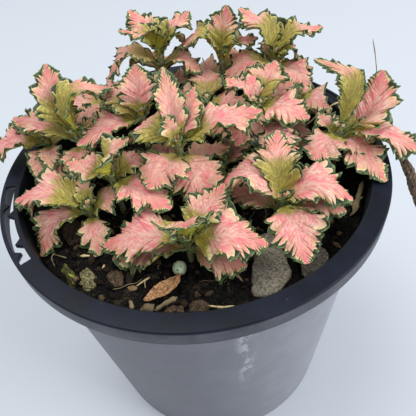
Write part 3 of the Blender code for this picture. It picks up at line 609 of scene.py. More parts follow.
def fineBlade(node, row, seed, steps, columns, ageAndShade, root):
    # Upper point = midrib point + sideways run and rise of a half that folds up more towards its edge
    # + relief along the local normal. Rows of the grid follow the side veins, so that teeth and slots
    # point outwards and forwards.
    draw = np.random.default_rng(seed)
    teeth = max(leafForm["leastTeeth"], round(row[4] / leafForm["toothGap"]))
    rows = teeth * steps + 1
    t = np.linspace(0, 1, rows)[:, None]
    turns = draw.uniform(0, 2 * math.pi, 6)
    sway = np.sin(10 * t + turns[0]) + 0.6 * np.sin(23 * t + turns[1])
    q = t + leafForm["veinSway"] * np.sin(math.pi * t) * sway
    w = np.linspace(-1, 1, columns)[None, :]
    q, w = np.broadcast_arrays(q, w)
    across = 1 - (1 - np.abs(w)) ** 1.5
    sign = np.where(w < 0, -1.0, 1.0)
    side = (sign > 0).astype(int)
    slant = leafForm["slant"] * np.sin(math.pi * q)
    along = np.clip(q + slant * across ** 1.2, 0, 1)
    edgeAlong = np.clip(q + slant, 0, 1)
    size = row[5] / 15  # cuts and ripples grow with the leaf's width

    # The outline: the smooth half width, in slow lobes, and cut into teeth and slots
    phase, near, tips, slots, pockets = bladeTeeth(draw, teeth, t, side)
    window = np.clip(edgeAlong / 0.3, 0, 1) * np.clip((1 - edgeAlong) / 0.16, 0.12, 1)
    lobes = np.sin(2 * math.pi * leafForm["lobes"] * t + turns[2] + 2.5 * side)
    cut = leafForm["toothDepth"] * (tips * (1 - near) ** 0.9 - 0.4)
    cut = cut - leafForm["slotDepth"] * slots * near ** 3
    half = easedCurve(edgeAlong, leafForm["along"], leafForm["width"]) * row[5] / 2
    half = half * (1 + leafForm["lobeDepth"] * window * lobes) + cut * size * window
    half = np.maximum(half, 0.25)

    # The fold: each half is an arc that leaves the midrib at a part of the fold and steepens outwards
    centre, sideways, over, folds = bladeFrame(node, row, along)
    folds = np.where(np.abs(folds) < 0.01, 0.01, folds)
    start, spread = leafForm["foldStart"], leafForm["foldSpread"]
    angle = folds * (start + spread * across)
    run = (np.sin(angle) - np.sin(folds * start)) / (folds * spread)
    rise = (np.cos(folds * start) - np.cos(angle)) / (folds * spread)
    normal = np.cos(angle)[..., None] * over - (sign * np.sin(angle))[..., None] * sideways
    points = centre + (sign * half * run)[..., None] * sideways + (half * rise)[..., None] * over

    # The relief: quilting between the side veins, a ruffled edge, pits in the notches, a midrib groove
    margin = (1 - across) * half
    vein = leafForm["veins"] * t + 0.5 * side
    pit = np.exp(-((margin - leafForm["pitPlace"]) / leafForm["pitWidth"]) ** 2)
    relief = size * (
        leafForm["quilt"] * np.sin(math.pi * vein) ** 2 * np.sin(math.pi * across ** 0.8)
        + leafForm["ruffle"] * np.sin(math.pi * phase + turns[3]) * across ** 5
        + leafForm["crinkle"] * np.sin(2 * math.pi * phase + turns[1]) * across ** 8
        + leafForm["wave"] * np.sin(math.pi * vein * 1.2 + turns[4]) * across ** 4
        + leafForm["wave"] * np.sin(10 * q + turns[5] + sign) * across ** 3
        - leafForm["pitDepth"] * near ** 2 * (0.3 + slots) * pit)
    relief += leafForm["ripple"] * np.sin(2 * math.pi * phase) * across * (1 - across)
    relief -= leafForm["groove"] * np.exp(-(half * across / leafForm["grooveWidth"]) ** 2)
    upper = points + (relief * window)[..., None] * normal
    depth = leafForm["thickness"] + leafForm["rootSwell"] * np.exp(-(along / 0.10) ** 2)
    depth += leafForm["rib"] * np.exp(-(half * across / leafForm["ribWidth"]) ** 2) * (1 - along)
    lower = upper - depth[..., None] * normal

    reach = leafForm["rimWidth"] + leafForm["pocketWidth"] * size * pockets * near ** 2.2
    spots = dict(along=along, across=sign * across, tooth=phase, margin=margin, reach=reach)
    values = {name: np.tile(numbers.ravel(), 2) for name, numbers in spots.items()}
    values["under"] = np.repeat((0.0, 1.0), rows * columns)
    for name, number in dict(tint=draw.uniform(), ageAndShade=ageAndShade, root=root).items():
        values[name] = np.full(2 * rows * columns, number)
    return np.vstack([upper.reshape(-1, 3), lower.reshape(-1, 3)]), bladeFaces(rows, columns), values


def bladeFaces(rows, columns):
    # The upper grid, the lower one turned over, and the strip between them all the way round.
    count = rows * columns
    index = np.arange(count).reshape(rows, columns)
    faces = gridFaces(rows, columns)
    parts = [faces, faces[:, ::-1] + count]
    for line, turned in ((index[:, 0], True), (index[:, -1], False), (index[0], False), (index[-1], True)):
        a, b = line[:-1], line[1:]
        strip = np.stack([a, a + count, b + count, b], 1)
        parts.append(strip[:, ::-1] if turned else strip)
    return np.vstack(parts)


stemForm = dict(
    widest=(1.4, 1.25, 1.35, 1.4, 1.1, 0.5), ribbing=0.04, sway=0.15,
    lowRings=30, topRings=14, sides=14)


def fineStem(node):
    # A round stem with slight rings, which swells at the node where the leaves join.
    path, radii = stemCourse(node)
    radii = np.minimum(radii, stemForm["widest"])
    run = np.linspace(0, 1, stemForm["lowRings"])
    heights = path[0, 2] + (path[1, 2] - path[0, 2]) * run[:-1]
    heights = np.concatenate([heights, np.linspace(path[1, 2], path[-1, 2], stemForm["topRings"])])
    radius = easedCurve(heights, path[:, 2], radii) * (1 + stemForm["ribbing"] * np.sin(heights * 2.1))
    x, y = node[:2]
    sway = stemForm["sway"]
    middle = np.stack([x + sway * np.sin(heights / 3), y + sway * np.cos(heights / 4), heights], 1)
    return ringTube(middle, radius, stemForm["sides"])


def joinParts(parts):
    # Stacks points, faces and values of several closed surfaces in one.
    points, faces, values = [], [], {}
    count = 0
    for some, over, numbers in parts:
        points.append(some)
        faces.append(over + count)
        count += len(some)
        for key, value in numbers.items():
            values.setdefault(key, []).append(value)
    return np.vstack(points), np.vstack(faces), {key: np.concatenate(value) for key, value in values.items()}


leafTones = dict(
    rose=tone(220, 134, 134), dusk=tone(200, 150, 122), salmon=tone(232, 182, 160),
    blush=tone(242, 220, 198), vein=tone(204, 90, 98), tip=tone(234, 104, 118),
    # the brown is the colour of old leaves and of the painted shade under the canopy
    tan=tone(198, 166, 108), cream=tone(222, 214, 146), brown=tone(180, 132, 100),
    green=tone(74, 98, 56), deep=tone(20, 36, 20), edge=tone(150, 166, 104),
    olive=tone(182, 176, 62), oliveDeep=tone(126, 120, 44),
    # the stem and hair tones are painted darker, as shade under the leaves
    stem=tone(104, 108, 64), hair=tone(140, 140, 108))


def leafFinish():
    # The colour follows the side veins, the distance to the edge and the notches.
    skin = Finish("pinkLeaf", roughness=0.5)
    along, across, tooth, margin, reach = map(skin.attribute, ("along", "across", "tooth", "margin", "reach"))
    root, under, tint, ageAndShade, stem = map(skin.attribute, ("root", "under", "tint", "ageAndShade", "stem"))
    side = across * 4
    spread = abs(across)
    forward = tooth - spread * 3.5
    streaks = skin.noise(skin.vector(forward * 1.1, spread * 0.8 + side, tint * 40), 1.6, 3, 0.6)
    fine = skin.noise(skin.vector(forward * 2.0, spread * 2.2 + side, tint * 40 + 9), 1.8, 3, 0.7)
    blotch = skin.noise(skin.vector(along * 4, across * 2, tint * 60), 1.2, 2, 0.5)
    ragged = skin.noise(skin.vector(tooth * 0.9, margin * 0.8 + side, tint * 70), 1.5, 4, 0.7)
    speckle = skin.noise(skin.vector(forward * 2.0, margin * 1.5 + side, tint * 50), 2.2, 3, 0.7)
    rib = (1 - spread * 14).smooth(0.0, 1.0)
    pale = margin.smooth(3.6, 0.8) * speckle.smooth(0.44, 0.58) * (1 - along.smooth(0.7, 0.95))
    mossy = (root + (streaks - 0.5) * 0.35 - along).smooth(-0.07, 0.07)
    moss = skin.blend(fine.smooth(0.42, 0.6), leafTones["oliveDeep"], leafTones["olive"])
    pink = skin.layers(
        leafTones["rose"],
        (streaks.smooth(0.38, 0.62), leafTones["salmon"]),
        (fine.smooth(0.50, 0.64) * 0.60, leafTones["blush"]),
        ((1 - fine).smooth(0.53, 0.66) * 0.55, leafTones["vein"]),
        (along.smooth(0.60, 0.95) * 0.75, leafTones["tip"]),
        (blotch.smooth(0.48, 0.68) * 0.6, leafTones["tip"]),
        (rib * 0.25, leafTones["blush"]),
        (pale * 0.65, leafTones["cream"]),
        (along.smooth(0.34, 0.08) * 0.8, leafTones["tan"]),
        (mossy * 0.9, moss),
        # browner with age and with painted shade under the canopy
        (ageAndShade * 0.75, leafTones["brown"]))
    reach = reach * (0.4 + ragged * 1.2) * (1 - along.smooth(0.75, 1.0) * 0.6)
    rim = (reach - margin).smooth(-0.05, 0.08)
    paleRim = (reach + 0.04 + ragged * 0.40 - margin).smooth(-0.10, 0.16)
    green = skin.layers(
        leafTones["green"],
        (margin.smooth(0.22, 0.6) * 0.9, leafTones["deep"]),
        (ragged.smooth(0.46, 0.58) * 0.7, leafTones["deep"]),
        (speckle.smooth(0.56, 0.66) * 0.55, leafTones["edge"]),
        (margin.smooth(0.14, 0.04) * 0.7, leafTones["edge"]))
    upper = skin.layers(pink, (paleRim * 0.9, leafTones["cream"]), (rim, green))
    underPink = skin.blend(streaks.smooth(0.40, 0.60), leafTones["dusk"], leafTones["salmon"])
    ribs = (fine * 0.5 + streaks * 0.5).smooth(0.35, 0.65)
    lower = skin.layers(
        leafTones["olive"],
        (ribs * 0.5, leafTones["oliveDeep"]),
        (along.smooth(0.44, 0.70) * 0.85, underPink),
        # darker olive with age and with painted shade under the canopy
        (ageAndShade * 0.5, leafTones["oliveDeep"]),
        ((reach * 0.75 - margin).smooth(-0.1, 0.15), leafTones["green"]))
    bark = skin.noise(skin.place(), 900, 3)
    # the stem's tones carry painted shade under the leaves
    shank = skin.blend(bark.smooth(0.4, 0.65), leafTones["stem"], leafTones["hair"])
    skin.paint("Base Color", skin.layers(upper, (under, lower), (stem, shank)))
    skin.paint("Roughness", 0.56 - rim * 0.16 + fine * 0.08)
    relief = streaks * 0.6 + fine * 0.6 + skin.noise(skin.place(), 2600, 2) * 0.3
    skin.bump(relief, 0.5, 0.0005)
    return skin


leafSkin = leafFinish()
settled = settleLeaves()
print("leaves settled", sum(len(rows) for rows in settled.values()))


def makeShoot(shoot, number):
    # The stem, its settled leaves and a pair of budding leaves at the top, in one piece. Leaves that leave
    # the stem lower down, and those of the low shoots, are browner, partly with age and partly as painted
    # shade under the canopy, and steeper ones are olive further out.
    node, leaves = shoots[shoot]
    parts = []
    for rank, row in settled[shoot]:
        low = rank >= solidForm["shadedFrom"] or shoot in solidForm["lowShoots"]
        steps = leafForm["lowStepsPerTooth" if low else "stepsPerTooth"]
        columns = leafForm["lowColumns" if low else "columns"]
        # lower leaves and those of the low shoots are browner: partly age and partly painted shade under the
        # canopy
        ageAndShade = min(max(row[0] - 1.5, 0) / 5, 0.8) + 0.25 * (shoot in solidForm["lowShoots"])
        root = rootShares.get((shoot, rank), float(np.interp(row[2], (12, 60), (0.25, 0.60))))
        parts.append(fineBlade(node, row, 100 * number + rank, steps, columns, ageAndShade, root))
    turn = leaves[0][1] + 90  # the buds stand across the top pair of leaves
    for k in (0, 1):
        bud = (-1.2, turn + 180 * k, 72, 35 - 10 * k, 5.5 - k, 3.4, 45)
        seed = 100 * number + 90 + k
        parts.append(fineBlade(node, bud, seed, leafForm["budSteps"], leafForm["budColumns"], 0, 0.3))
    stem, faces = fineStem(node)
    parts.append((stem, faces, {name: np.zeros(len(stem)) for name in parts[0][2]}))
    points, faces, values = joinParts(parts)
    values["stem"] = np.zeros(len(points))
    values["stem"][-len(stem):] = 1
    addPiece(shoot + "_leaves", points, faces, values, leafSkin, "leaf", shoot)


for number, shoot in enumerate(shoots, 1):
    makeShoot(shoot, number)
print("shoots made")

# The pot: heights and radii in millimetres, and where the label slot and its teeth are, in degrees
potForm = dict(
    height=127.5, rim=70.0, skirtDrop=6.3, skirtWall=1.1, flange=1.5,
    mouth=63.5, base=56.5, wall=1.2, floor=1.8,
    segments=240,
    drainHoles=8, drainRadius=4.2, drainCircle=44, drainSides=32,
    slotInner=65.2, slotOuter=68.6, slotAngles=(181.2, 214.4), slotSteps=25,
    outerTeeth=(190.0, 210.6), innerTeeth=(194.3, 206.8), toothDepth=2.0, toothHalf=1.6)

# Each part of the pot's plastic, from its darker to its paler tone. The wall's tones are painted paler than
# the top's dark plastic, as a painted reflection of the bright floor as well as dust, and the lit side's
# tones are paler still, as painted light on that side.
potTones = dict(
    wall=((103, 103, 109), (113, 113, 120)), paintedLitSide=((138, 139, 147), (150, 152, 160)),
    skirt=((60, 62, 70), (84, 85, 92)), top=((8, 13, 25), (17, 23, 40)))


def roundedProfile(corners, steps=5):
    # Each corner (r, z, radius) becomes an arc of a quadratic curve between its two cut-back points.
    corners = np.array(corners, float)
    points = [corners[0, :2]]
    for before, corner, after in zip(corners[:-2], corners[1:-1], corners[2:]):
        back = before[:2] - corner[:2]
        ahead = after[:2] - corner[:2]
        first = corner[:2] + back / np.linalg.norm(back) * corner[2]
        last = corner[:2] + ahead / np.linalg.norm(ahead) * corner[2]
        t = np.linspace(0, 1, steps)[:, None] if corner[2] else np.zeros((1, 1))
        points += list((1 - t) ** 2 * first + 2 * t * (1 - t) * corner[:2] + t * t * last)
    points.append(corners[-1, :2])
    return np.array(points)


def slotOutline(turn):
    # An arc-shaped opening with small triangular teeth on both sides.
    def edge(radius, teeth, depth):
        half = potForm["toothHalf"]
        stops = np.linspace(*potForm["slotAngles"], potForm["slotSteps"])
        points = [(stop, radius) for stop in stops if all(abs(stop - tooth) > half for tooth in teeth)]
        for tooth in teeth:
            points += [(tooth - half, radius), (tooth, radius + depth), (tooth + half, radius)]
        return sorted(points)

    outer = edge(potForm["slotOuter"], potForm["outerTeeth"], -potForm["toothDepth"])
    inner = edge(potForm["slotInner"], potForm["innerTeeth"], potForm["toothDepth"])
    angles, radii = np.array(outer + inner[::-1]).T
    angles = np.radians(angles + turn)
    return np.stack([radii * np.cos(angles), radii * np.sin(angles)], 1)


def cutter(outline, low, high):
    # An upright prism on a plan outline.
    mesh = bpy.data.meshes.new("cutter")
    count = len(outline)
    points = [(x * mm, y * mm, z * mm) for z in (low, high) for x, y in outline]
    faces = [tuple(range(count)), tuple(range(count, 2 * count))]
    faces += [(k, (k + 1) % count, count + (k + 1) % count, count + k) for k in range(count)]
    mesh.from_pydata(points, [], faces)
    outward(mesh)
    return linked("cutter", mesh)


def cutAway(piece, tools):
    # Cuts the tools out of the piece and drops them.
    for tool in tools:
        cut = piece.modifiers.new("cut", "BOOLEAN")
        cut.object = tool
        cut.solver = "EXACT"
    bpy.context.view_layer.update()
    piece.data = bpy.data.meshes.new_from_object(piece.evaluated_get(bpy.context.evaluated_depsgraph_get()))
    piece.modifiers.clear()
    for tool in tools:
        bpy.data.objects.remove(tool)


def potFinish():
    # Dark blue-grey plastic, scuffed and dusty, with the fine upright flow lines of the moulding. Its wall
    # has a painted highlight streak at the front, a paler painted lit side and painted shade at the skirt's
    # foot.
    skin = Finish("potPlastic", Specular_IOR_Level=0.22)
    spot = skin.place()
    x, y, z = [skin.node("ShaderNodeSeparateXYZ", None, {0: spot}, output=k) for k in range(3)]
    dust = skin.noise(spot, 90, 5, 0.65)
    scuffs = skin.noise(skin.stretched(spot, (1, 1, 0.15)), 1400, 3, 0.7)
    specks = skin.cells(spot, 420)
    # noise that breaks up the painted highlight streak and the painted shade at the skirt's foot
    paintedMarkNoise = skin.noise(skin.stretched(spot, (1, 1, 0.5)), 260, 4, 0.7)
    powder = dust.smooth(0.35, 0.7)
    wall, paintedLitSide, skirt, top = [skin.blend(powder, tone(*low), tone(*high)) for low, high in potTones.values()]
    radius = (x * x + y * y) ** 0.5
    highlightX = x - 0.008
    highlightBand = highlightX.smooth(-0.004, 0.0) * highlightX.smooth(0.005, 0.001) * y.smooth(-0.04, -0.05)
    paintedHighlight = highlightBand * z.smooth(0.06, 0.08) * paintedMarkNoise.smooth(0.47, 0.58)  # a painted highlight: an upright streak of reflected light at the front
    # painted shade along the skirt's lower edge and its underside, broken up by noise
    skirtFootShade = z.smooth(0.1219, 0.1216) * paintedMarkNoise.smooth(0.34, 0.42)
    insideRun = 0.0652  # how far the wall's inside leans out, as a share of its rise
    colour = skin.layers(
        wall,
        (x.smooth(-0.02, 0.05), paintedLitSide),  # the +X side of the wall is painted paler: painted light on that side, mottled by the dust
        # the painted highlight streak
        (paintedHighlight * 0.45, tone(206, 204, 204)),
        # the skirt, with the painted shade at its foot
        (radius.smooth(0.0680, 0.0688), skin.blend(skirtFootShade, skirt, tone(26, 26, 30))),
        (z.smooth(0.1262, 0.1271), top),
        ((radius - z * insideRun).smooth(0.0560, 0.0557), tone(24, 26, 32)),
        (specks.smooth(0.10, 0.04) * dust.smooth(0.55, 0.7) * 0.6, tone(176, 178, 182)))
    skin.paint("Base Color", colour)
    skin.paint("Roughness", 0.34 + dust * 0.16 + scuffs * 0.08)
    skin.bump(scuffs * 0.8 + dust * 0.2, 0.16, 0.0005)
    return skin


def makePot(form):
    # The section goes from the axis under the base, up the outside, over the rim and down the inside,
    # and is carried round Z: x = r cos a, y = r sin a. The slots and drain holes are cut out of it.
    neck = form["mouth"] + form["wall"]
    top = form["height"]
    low = top - form["flange"]
    skirt = top - form["skirtDrop"]
    inner = form["rim"] - form["skirtWall"]
    insideBase = form["base"] - form["wall"]
    corners = [
        (0, 0, 0), (form["base"] - 4, 0, 0), (form["base"], 0, 1.0), (neck, low, 0.3), (inner, low, 0.3),
        (inner, skirt, 0.25), (form["rim"], skirt, 0.35), (form["rim"], top, 0.7),
        (form["mouth"] + 3, top, 0), (form["mouth"], top, 0.6),
        (insideBase, form["floor"], 0.5), (insideBase - 4, form["floor"], 0), (0, form["floor"], 0)]
    section = roundedProfile(corners)[1:-1]
    radius, height = section[:, :1], section[:, 1:]
    angle = fullTurn(form["segments"])
    rings = np.stack([radius * np.cos(angle), radius * np.sin(angle), height + 0 * angle], -1)
    points, faces = cappedGrid(rings)
    points[-2:, :2] = 0  # both fans meet exactly on the axis
    pot = cleanPiece("nursery_pot", points, faces, {}, potFinish())
    edge = fullTurn(form["drainSides"])
    hole = form["drainRadius"] * np.stack([np.cos(edge), np.sin(edge)], 1)
    tools = []
    for a in fullTurn(form["drainHoles"]):
        middle = form["drainCircle"] * np.array((math.cos(a), math.sin(a)))
        tools.append(cutter(middle + hole, -2, form["floor"] + 2))
    tools += [cutter(slotOutline(turn), top - 4, top + 2) for turn in (0, 180)]
    cutAway(pot, tools)
    pot.data.shade_smooth()
    pot.data.set_sharp_from_angle(angle=math.radians(40))
    dress(pot, "pot_plastic", "pot")


makePot(potForm)
print("pot made")

# Bark and grit on the mix: plan outline, height of its middle over the mix, thickness, rise to +X and +Y,
# depth of its relief and the name of its finish
chips = {
    "bark_chip_1": (((19, -32), (24, -34), (26, -49), (19, -56), (12, -54), (14, -44)),
                    2.2, 3.4, 0.02, 0.12, 0.18, "grit"),
    "bark_chip_2": (((30, -38), (36, -36), (39, -45), (34, -51), (29, -50)),
                    1.6, 3.0, 0.05, 0.10, 0.3, "grit"),
    "bark_chip_3": (((-42, -37.2), (-39.6, -36.2), (-36.2, -39.6), (-36, -43.3), (-39, -44), (-41.2, -41.8)),
                    1.8, 3.2, -0.05, 0.08, 0.7, "husk"),
    "bark_chip_4": (((-32.2, -40), (-29.6, -38.4), (-27, -41.2), (-27.2, -45.4), (-30, -45.6), (-32, -43)),
                    1.5, 2.8, 0.08, 0.05, 0.5, "bark"),
    "bark_chip_5": (((-51, -16), (-46, -11), (-40, -17), (-43, -24), (-47, -24)),
                    1.0, 3.0, 0.10, -0.05, 0.4, "bark"),
    "bark_chip_6": (((-7.6, -54), (-5.8, -52.7), (-2.8, -53.7), (-0.6, -55.5), (-1.7, -57.4), (-7, -56.5)),
                    1.1, 2.0, 0.0, 0.05, 0.4, "bark"),
    "bark_chip_7": (((-14.8, -54.7), (-12.3, -53.7), (-8.9, -54.8), (-8.9, -57), (-14.2, -56.1)),
                    0.8, 1.8, 0.0, 0.05, 0.4, "bark"),
    "bark_chip_8": (((-48.2, -34.5), (-47, -32), (-44, -35.5), (-43, -41), (-44.2, -41.6), (-46, -39.4)),
                    1.5, 2.6, 0.12, 0.06, 0.6, "moss")}
chipForm = dict(sides=90, rings=44, noise=((0.9, 5.0), (0.5, 2.0), (0.3, 0.9)))  # height and size of each
shardForm = dict(
    spine=((-20.6, -51.6, 1.2), (-17.6, -50.6, 1.6), (-14, -49, 2.0), (-10.8, -46.6, 2.5),
           (-9.2, -44.2, 3.0)),
    half=(0.5, 1.9, 2.5, 1.7, 0.5), curl=1.1, thickness=0.7, sides=40, rings=60,
    bedPlace=(-14.5, -48.6), bedReach=4.5)
prillForm = dict(place=(-9.0, -41.2, 117.4), radius=2.4, sides=64, rings=40, bedReach=2.6)


def outlineReach(outline, x, y):
    # Distance from the outline's middle as a share of the outline's own distance in that direction.
    corners = np.array(outline, float)
    middle = corners.mean(axis=0)
    corners = corners - middle
    dx, dy = x - middle[0], y - middle[1]
    share = np.zeros(np.shape(dx))
    for first, second in zip(corners, np.roll(corners, -1, axis=0)):
        edge = second - first
        facing = np.array((edge[1], -edge[0]))
        facing = facing * np.sign(facing @ first)
        share = np.maximum(share, (dx * facing[0] + dy * facing[1]) / (facing @ first))
    return share


def nearLitter(x, y):
    # 0 under a chip, the shard or the prill, and 1 past a narrow band round it.
    prillX, prillY = prillForm["place"][:2]
    shardX, shardY = shardForm["bedPlace"]
    clear = np.clip((np.hypot(x - prillX, y - prillY) - prillForm["bedReach"]) / 0.8, 0, 1)
    clear = clear * np.clip(np.hypot(x - shardX, (y - shardY) * 1.2) - shardForm["bedReach"], 0, 1)
    for outline, *rest in chips.values():
        clear = clear * np.clip((outlineReach(outline, x, y) - 1.0) / 0.2, 0, 1)
    return clear


def chipGrid(spec, seed):
    # Rings from below to above: a rounded box on the outline, whose corners are softened, and whose
    # surface rises and falls by three sizes of smooth noise along its outward direction.
    outline, lift, thickness, riseX, riseY, rough = spec[:6]
    middle = np.array(outline, float).mean(axis=0)
    turn = fullTurn(chipForm["sides"])
    reach = 1 / outlineReach(outline, middle[0] + np.cos(turn), middle[1] + np.sin(turn))
    reach = sum(np.roll(reach, shift) for shift in (2, 1, 0, -1, -2)) / 5
    tilt = np.linspace(-1.45, 1.45, chipForm["rings"])[:, None]
    share = np.cos(tilt) ** 0.34
    height = np.sign(tilt) * np.abs(np.sin(tilt)) ** 0.6
    x = reach * share * np.cos(turn)
    y = reach * share * np.sin(turn)
    z = thickness / 2 * height + riseX * x + riseY * y
    points = np.stack([x, y, z], -1)
    flat = points.reshape(-1, 3)
    noise = sum(depth * softNoise(flat, size, seed + k) for k, (depth, size) in enumerate(chipForm["noise"]))
    away = np.stack([np.cos(turn) * share ** 3, np.sin(turn) * share ** 3, height + 0 * turn], -1)
    points = points + rough * noise.reshape(z.shape)[..., None] * away
    level = mixHeight(*middle) + lift - thickness / 2
    return points + (middle[0], middle[1], level)


def chipFinishes():
    # Granular grey-brown grit, pale husk with dark marks, dark brown bark, and bark with a mossy edge.
    made = {}
    for name, low, high, mark, share in (
            ("grit", tone(104, 96, 82), tone(176, 166, 148), tone(88, 80, 70), 0.2),
            ("husk", tone(86, 80, 54), tone(156, 148, 106), tone(48, 42, 30), 0.7),
            ("bark", tone(54, 43, 34), tone(104, 84, 64), tone(30, 24, 20), 0.6),
            ("moss", tone(44, 40, 26), tone(84, 78, 44), tone(176, 190, 74), 0.7),
            ("shard", tone(128, 90, 58), tone(206, 158, 114), tone(92, 64, 42), 0.5)):
        skin = Finish(name + "Chip", roughness=0.9, Specular_IOR_Level=0.25)
        spot = skin.place()
        grain = skin.noise(spot, 1500, 5, 0.75)
        patch = skin.noise(spot, 520, 4, 0.65)
        fibre = skin.noise(skin.stretched(spot, (0.3, 1, 1)), 900, 3, 0.6)
        coats = ((grain.smooth(0.40, 0.60), high), (patch.smooth(0.50, 0.60) * share, mark))
        skin.paint("Base Color", skin.layers(low, *coats))
        skin.paint("Roughness", 0.95 - fibre * 0.25)
        skin.bump(grain * 0.7 + fibre * 0.5, 0.45, 0.0006)
        made[name] = skin
    return made


def makeChips():
    finishes = chipFinishes()
    for seed, (name, spec) in enumerate(chips.items(), 30):
        addPiece(name + "_rough", *cappedGrid(chipGrid(spec, seed)), {}, finishes[spec[6]], "bark", name)
    shard = cappedGrid(shardGrid(shardForm))
    addPiece("curled_shard", *shard, {}, finishes["shard"], "bark", "bark_shard")


def shardGrid(form):
    # Rings along the spine: each is a flat oval that curls up to both sides and narrows to both ends.
    run = np.linspace(0, 1, form["rings"])
    knots = np.linspace(0, 1, len(form["spine"]))
    path = easedPath(run, knots, form["spine"])
    path[:, 2] += mixHeight(path[:, 0], path[:, 1])
    half = easedCurve(run, knots, form["half"])[:, None]
    ahead = np.gradient(path, axis=0)
    ahead /= np.linalg.norm(ahead, axis=1)[:, None]
    side = np.cross(ahead, (0, 0, 1))
    turn = fullTurn(form["sides"])
    across = half * np.sign(np.cos(turn)) * np.abs(np.cos(turn)) ** 0.8
    ripple = 0.16 * np.sin(across * 3 + run[:, None] * 9) + 0.10 * np.sin(across * 7 - run[:, None] * 23)
    up = form["curl"] * (across / 2.4) ** 2 + form["thickness"] / 2 * np.sin(turn) + ripple
    return path[:, None] + across[..., None] * side[:, None] + up[..., None] * np.array((0, 0, 1.0))


def makePrill(form):
    # A ball with slight dents: radius times one plus soft noise.
    turn = fullTurn(form["sides"])
    tilt = np.linspace(-1.53, 1.53, form["rings"])[:, None]
    ball = np.stack([np.cos(tilt) * np.cos(turn), np.cos(tilt) * np.sin(turn), np.sin(tilt) + 0 * turn], -1)
    dents = 1 + 0.012 * softNoise(ball.reshape(-1, 3), 0.9, 5).reshape(ball.shape[:2])
    surface = cappedGrid(form["radius"] * dents[..., None] * ball + form["place"])
    skin = Finish("feedPrill", roughness=0.4, Coat_Weight=0.2)
    spot = skin.place()
    cloud = skin.noise(spot, 500, 3)
    specks = skin.cells(spot, 640)
    colour = skin.layers(
        tone(200, 226, 180),
        (cloud.smooth(0.35, 0.65), tone(240, 250, 214)),
        (specks.smooth(0.26, 0.16) * cloud.smooth(0.40, 0.48) * 0.9, tone(38, 44, 34)))
    skin.paint("Base Color", colour)
    skin.bump(cloud, 0.2, 0.0004)
    addPiece("feed_prill", *surface, {}, skin, "prill", "prill")


deadStemForm = dict(
    path=((55, 6, 109), (57, 4.4, 118), (59.4, 2, 126), (63.4, -2.4, 130.3), (68.6, -7.4, 130.8),
          (72.8, -11.9, 128.2), (75.6, -14.6, 122.8), (78.8, -15.9, 116.5), (82.3, -16.5, 109),
          (85.3, -16.8, 102)),
    radii=(1.1, 1.1, 1.0, 0.9, 0.95, 1.2, 1.5, 1.6, 1.55, 1.4),
    rings=170, sides=40)

# Straws and fibres on the mix: the points of each, its radius and how pale it is
straws = (
    (((-1.3, -56.5, 117.7), (2.5, -57.6, 117.5), (7.2, -58.3, 118.0)), 0.36, 0.95),
    (((-27.2, -46.8, 117.0), (-25, -46.9, 117.3), (-21.5, -45.4, 118.3), (-18.5, -44.2, 119.0)), 0.28, 0.85),
    (((-20, -44.2, 118.9), (-20.2, -46.0, 118.0), (-20.1, -47.7, 116.6)), 0.16, 0.6),
    (((-41.9, -30.8, 118.0), (-39, -31.8, 118.7), (-36.1, -32.3, 118.2)), 0.42, 0.95),
    (((-33.2, -36.1, 118.0), (-33.6, -37.5, 118.3), (-33.4, -38.9, 117.7)), 0.45, 1.0),
    (((-17.6, -55.0, 117.0), (-14, -53.9, 118.3), (-10.4, -52.6, 118.6)), 0.7, 0.22),
    (((-21.2, -54.6, 116.0), (-19.5, -54.3, 117.2), (-18.0, -54.8, 116.6)), 1.5, 0.14),
    (((-25.2, -49.9, 116.8), (-24.6, -52, 117.6), (-24.2, -53.8, 117.2)), 0.6, 0.28),
    (((5.2, -45.3, 117.2), (8, -47, 118.2), (10.2, -49.6, 117.2)), 0.5, 0.3),
    (((52.5, -28, 117.3), (56, -23, 119.0), (58.6, -18.6, 121.6)), 0.9, 0.3),
    (((50.5, -25, 117.4), (53.5, -25.5, 118.4), (57.4, -23.5, 119.2)), 0.25, 0.6),
    (((51, -29.5, 117.0), (54, -27.5, 118.2), (55.5, -22, 119.6)), 0.5, 0.25),
    (((-52.5, -27, 116.8), (-49, -29.5, 118.0), (-46.5, -30.5, 117.6)), 0.18, 0.25),
    (((-50.5, -33, 116.8), (-51.5, -30, 118.2), (-50.8, -27.5, 117.6)), 0.16, 0.25),
    (((47, 19.5, 118.6), (54, 20.1, 124.2), (59.5, 20.4, 127.9), (65, 22.2, 127.9)), 0.3, 0.9),
    (((54, -1, 136), (61, 0.6, 143), (65, 1.2, 150), (63.6, 0.8, 157), (60.6, -0.4, 165)), 0.16, 0.3))


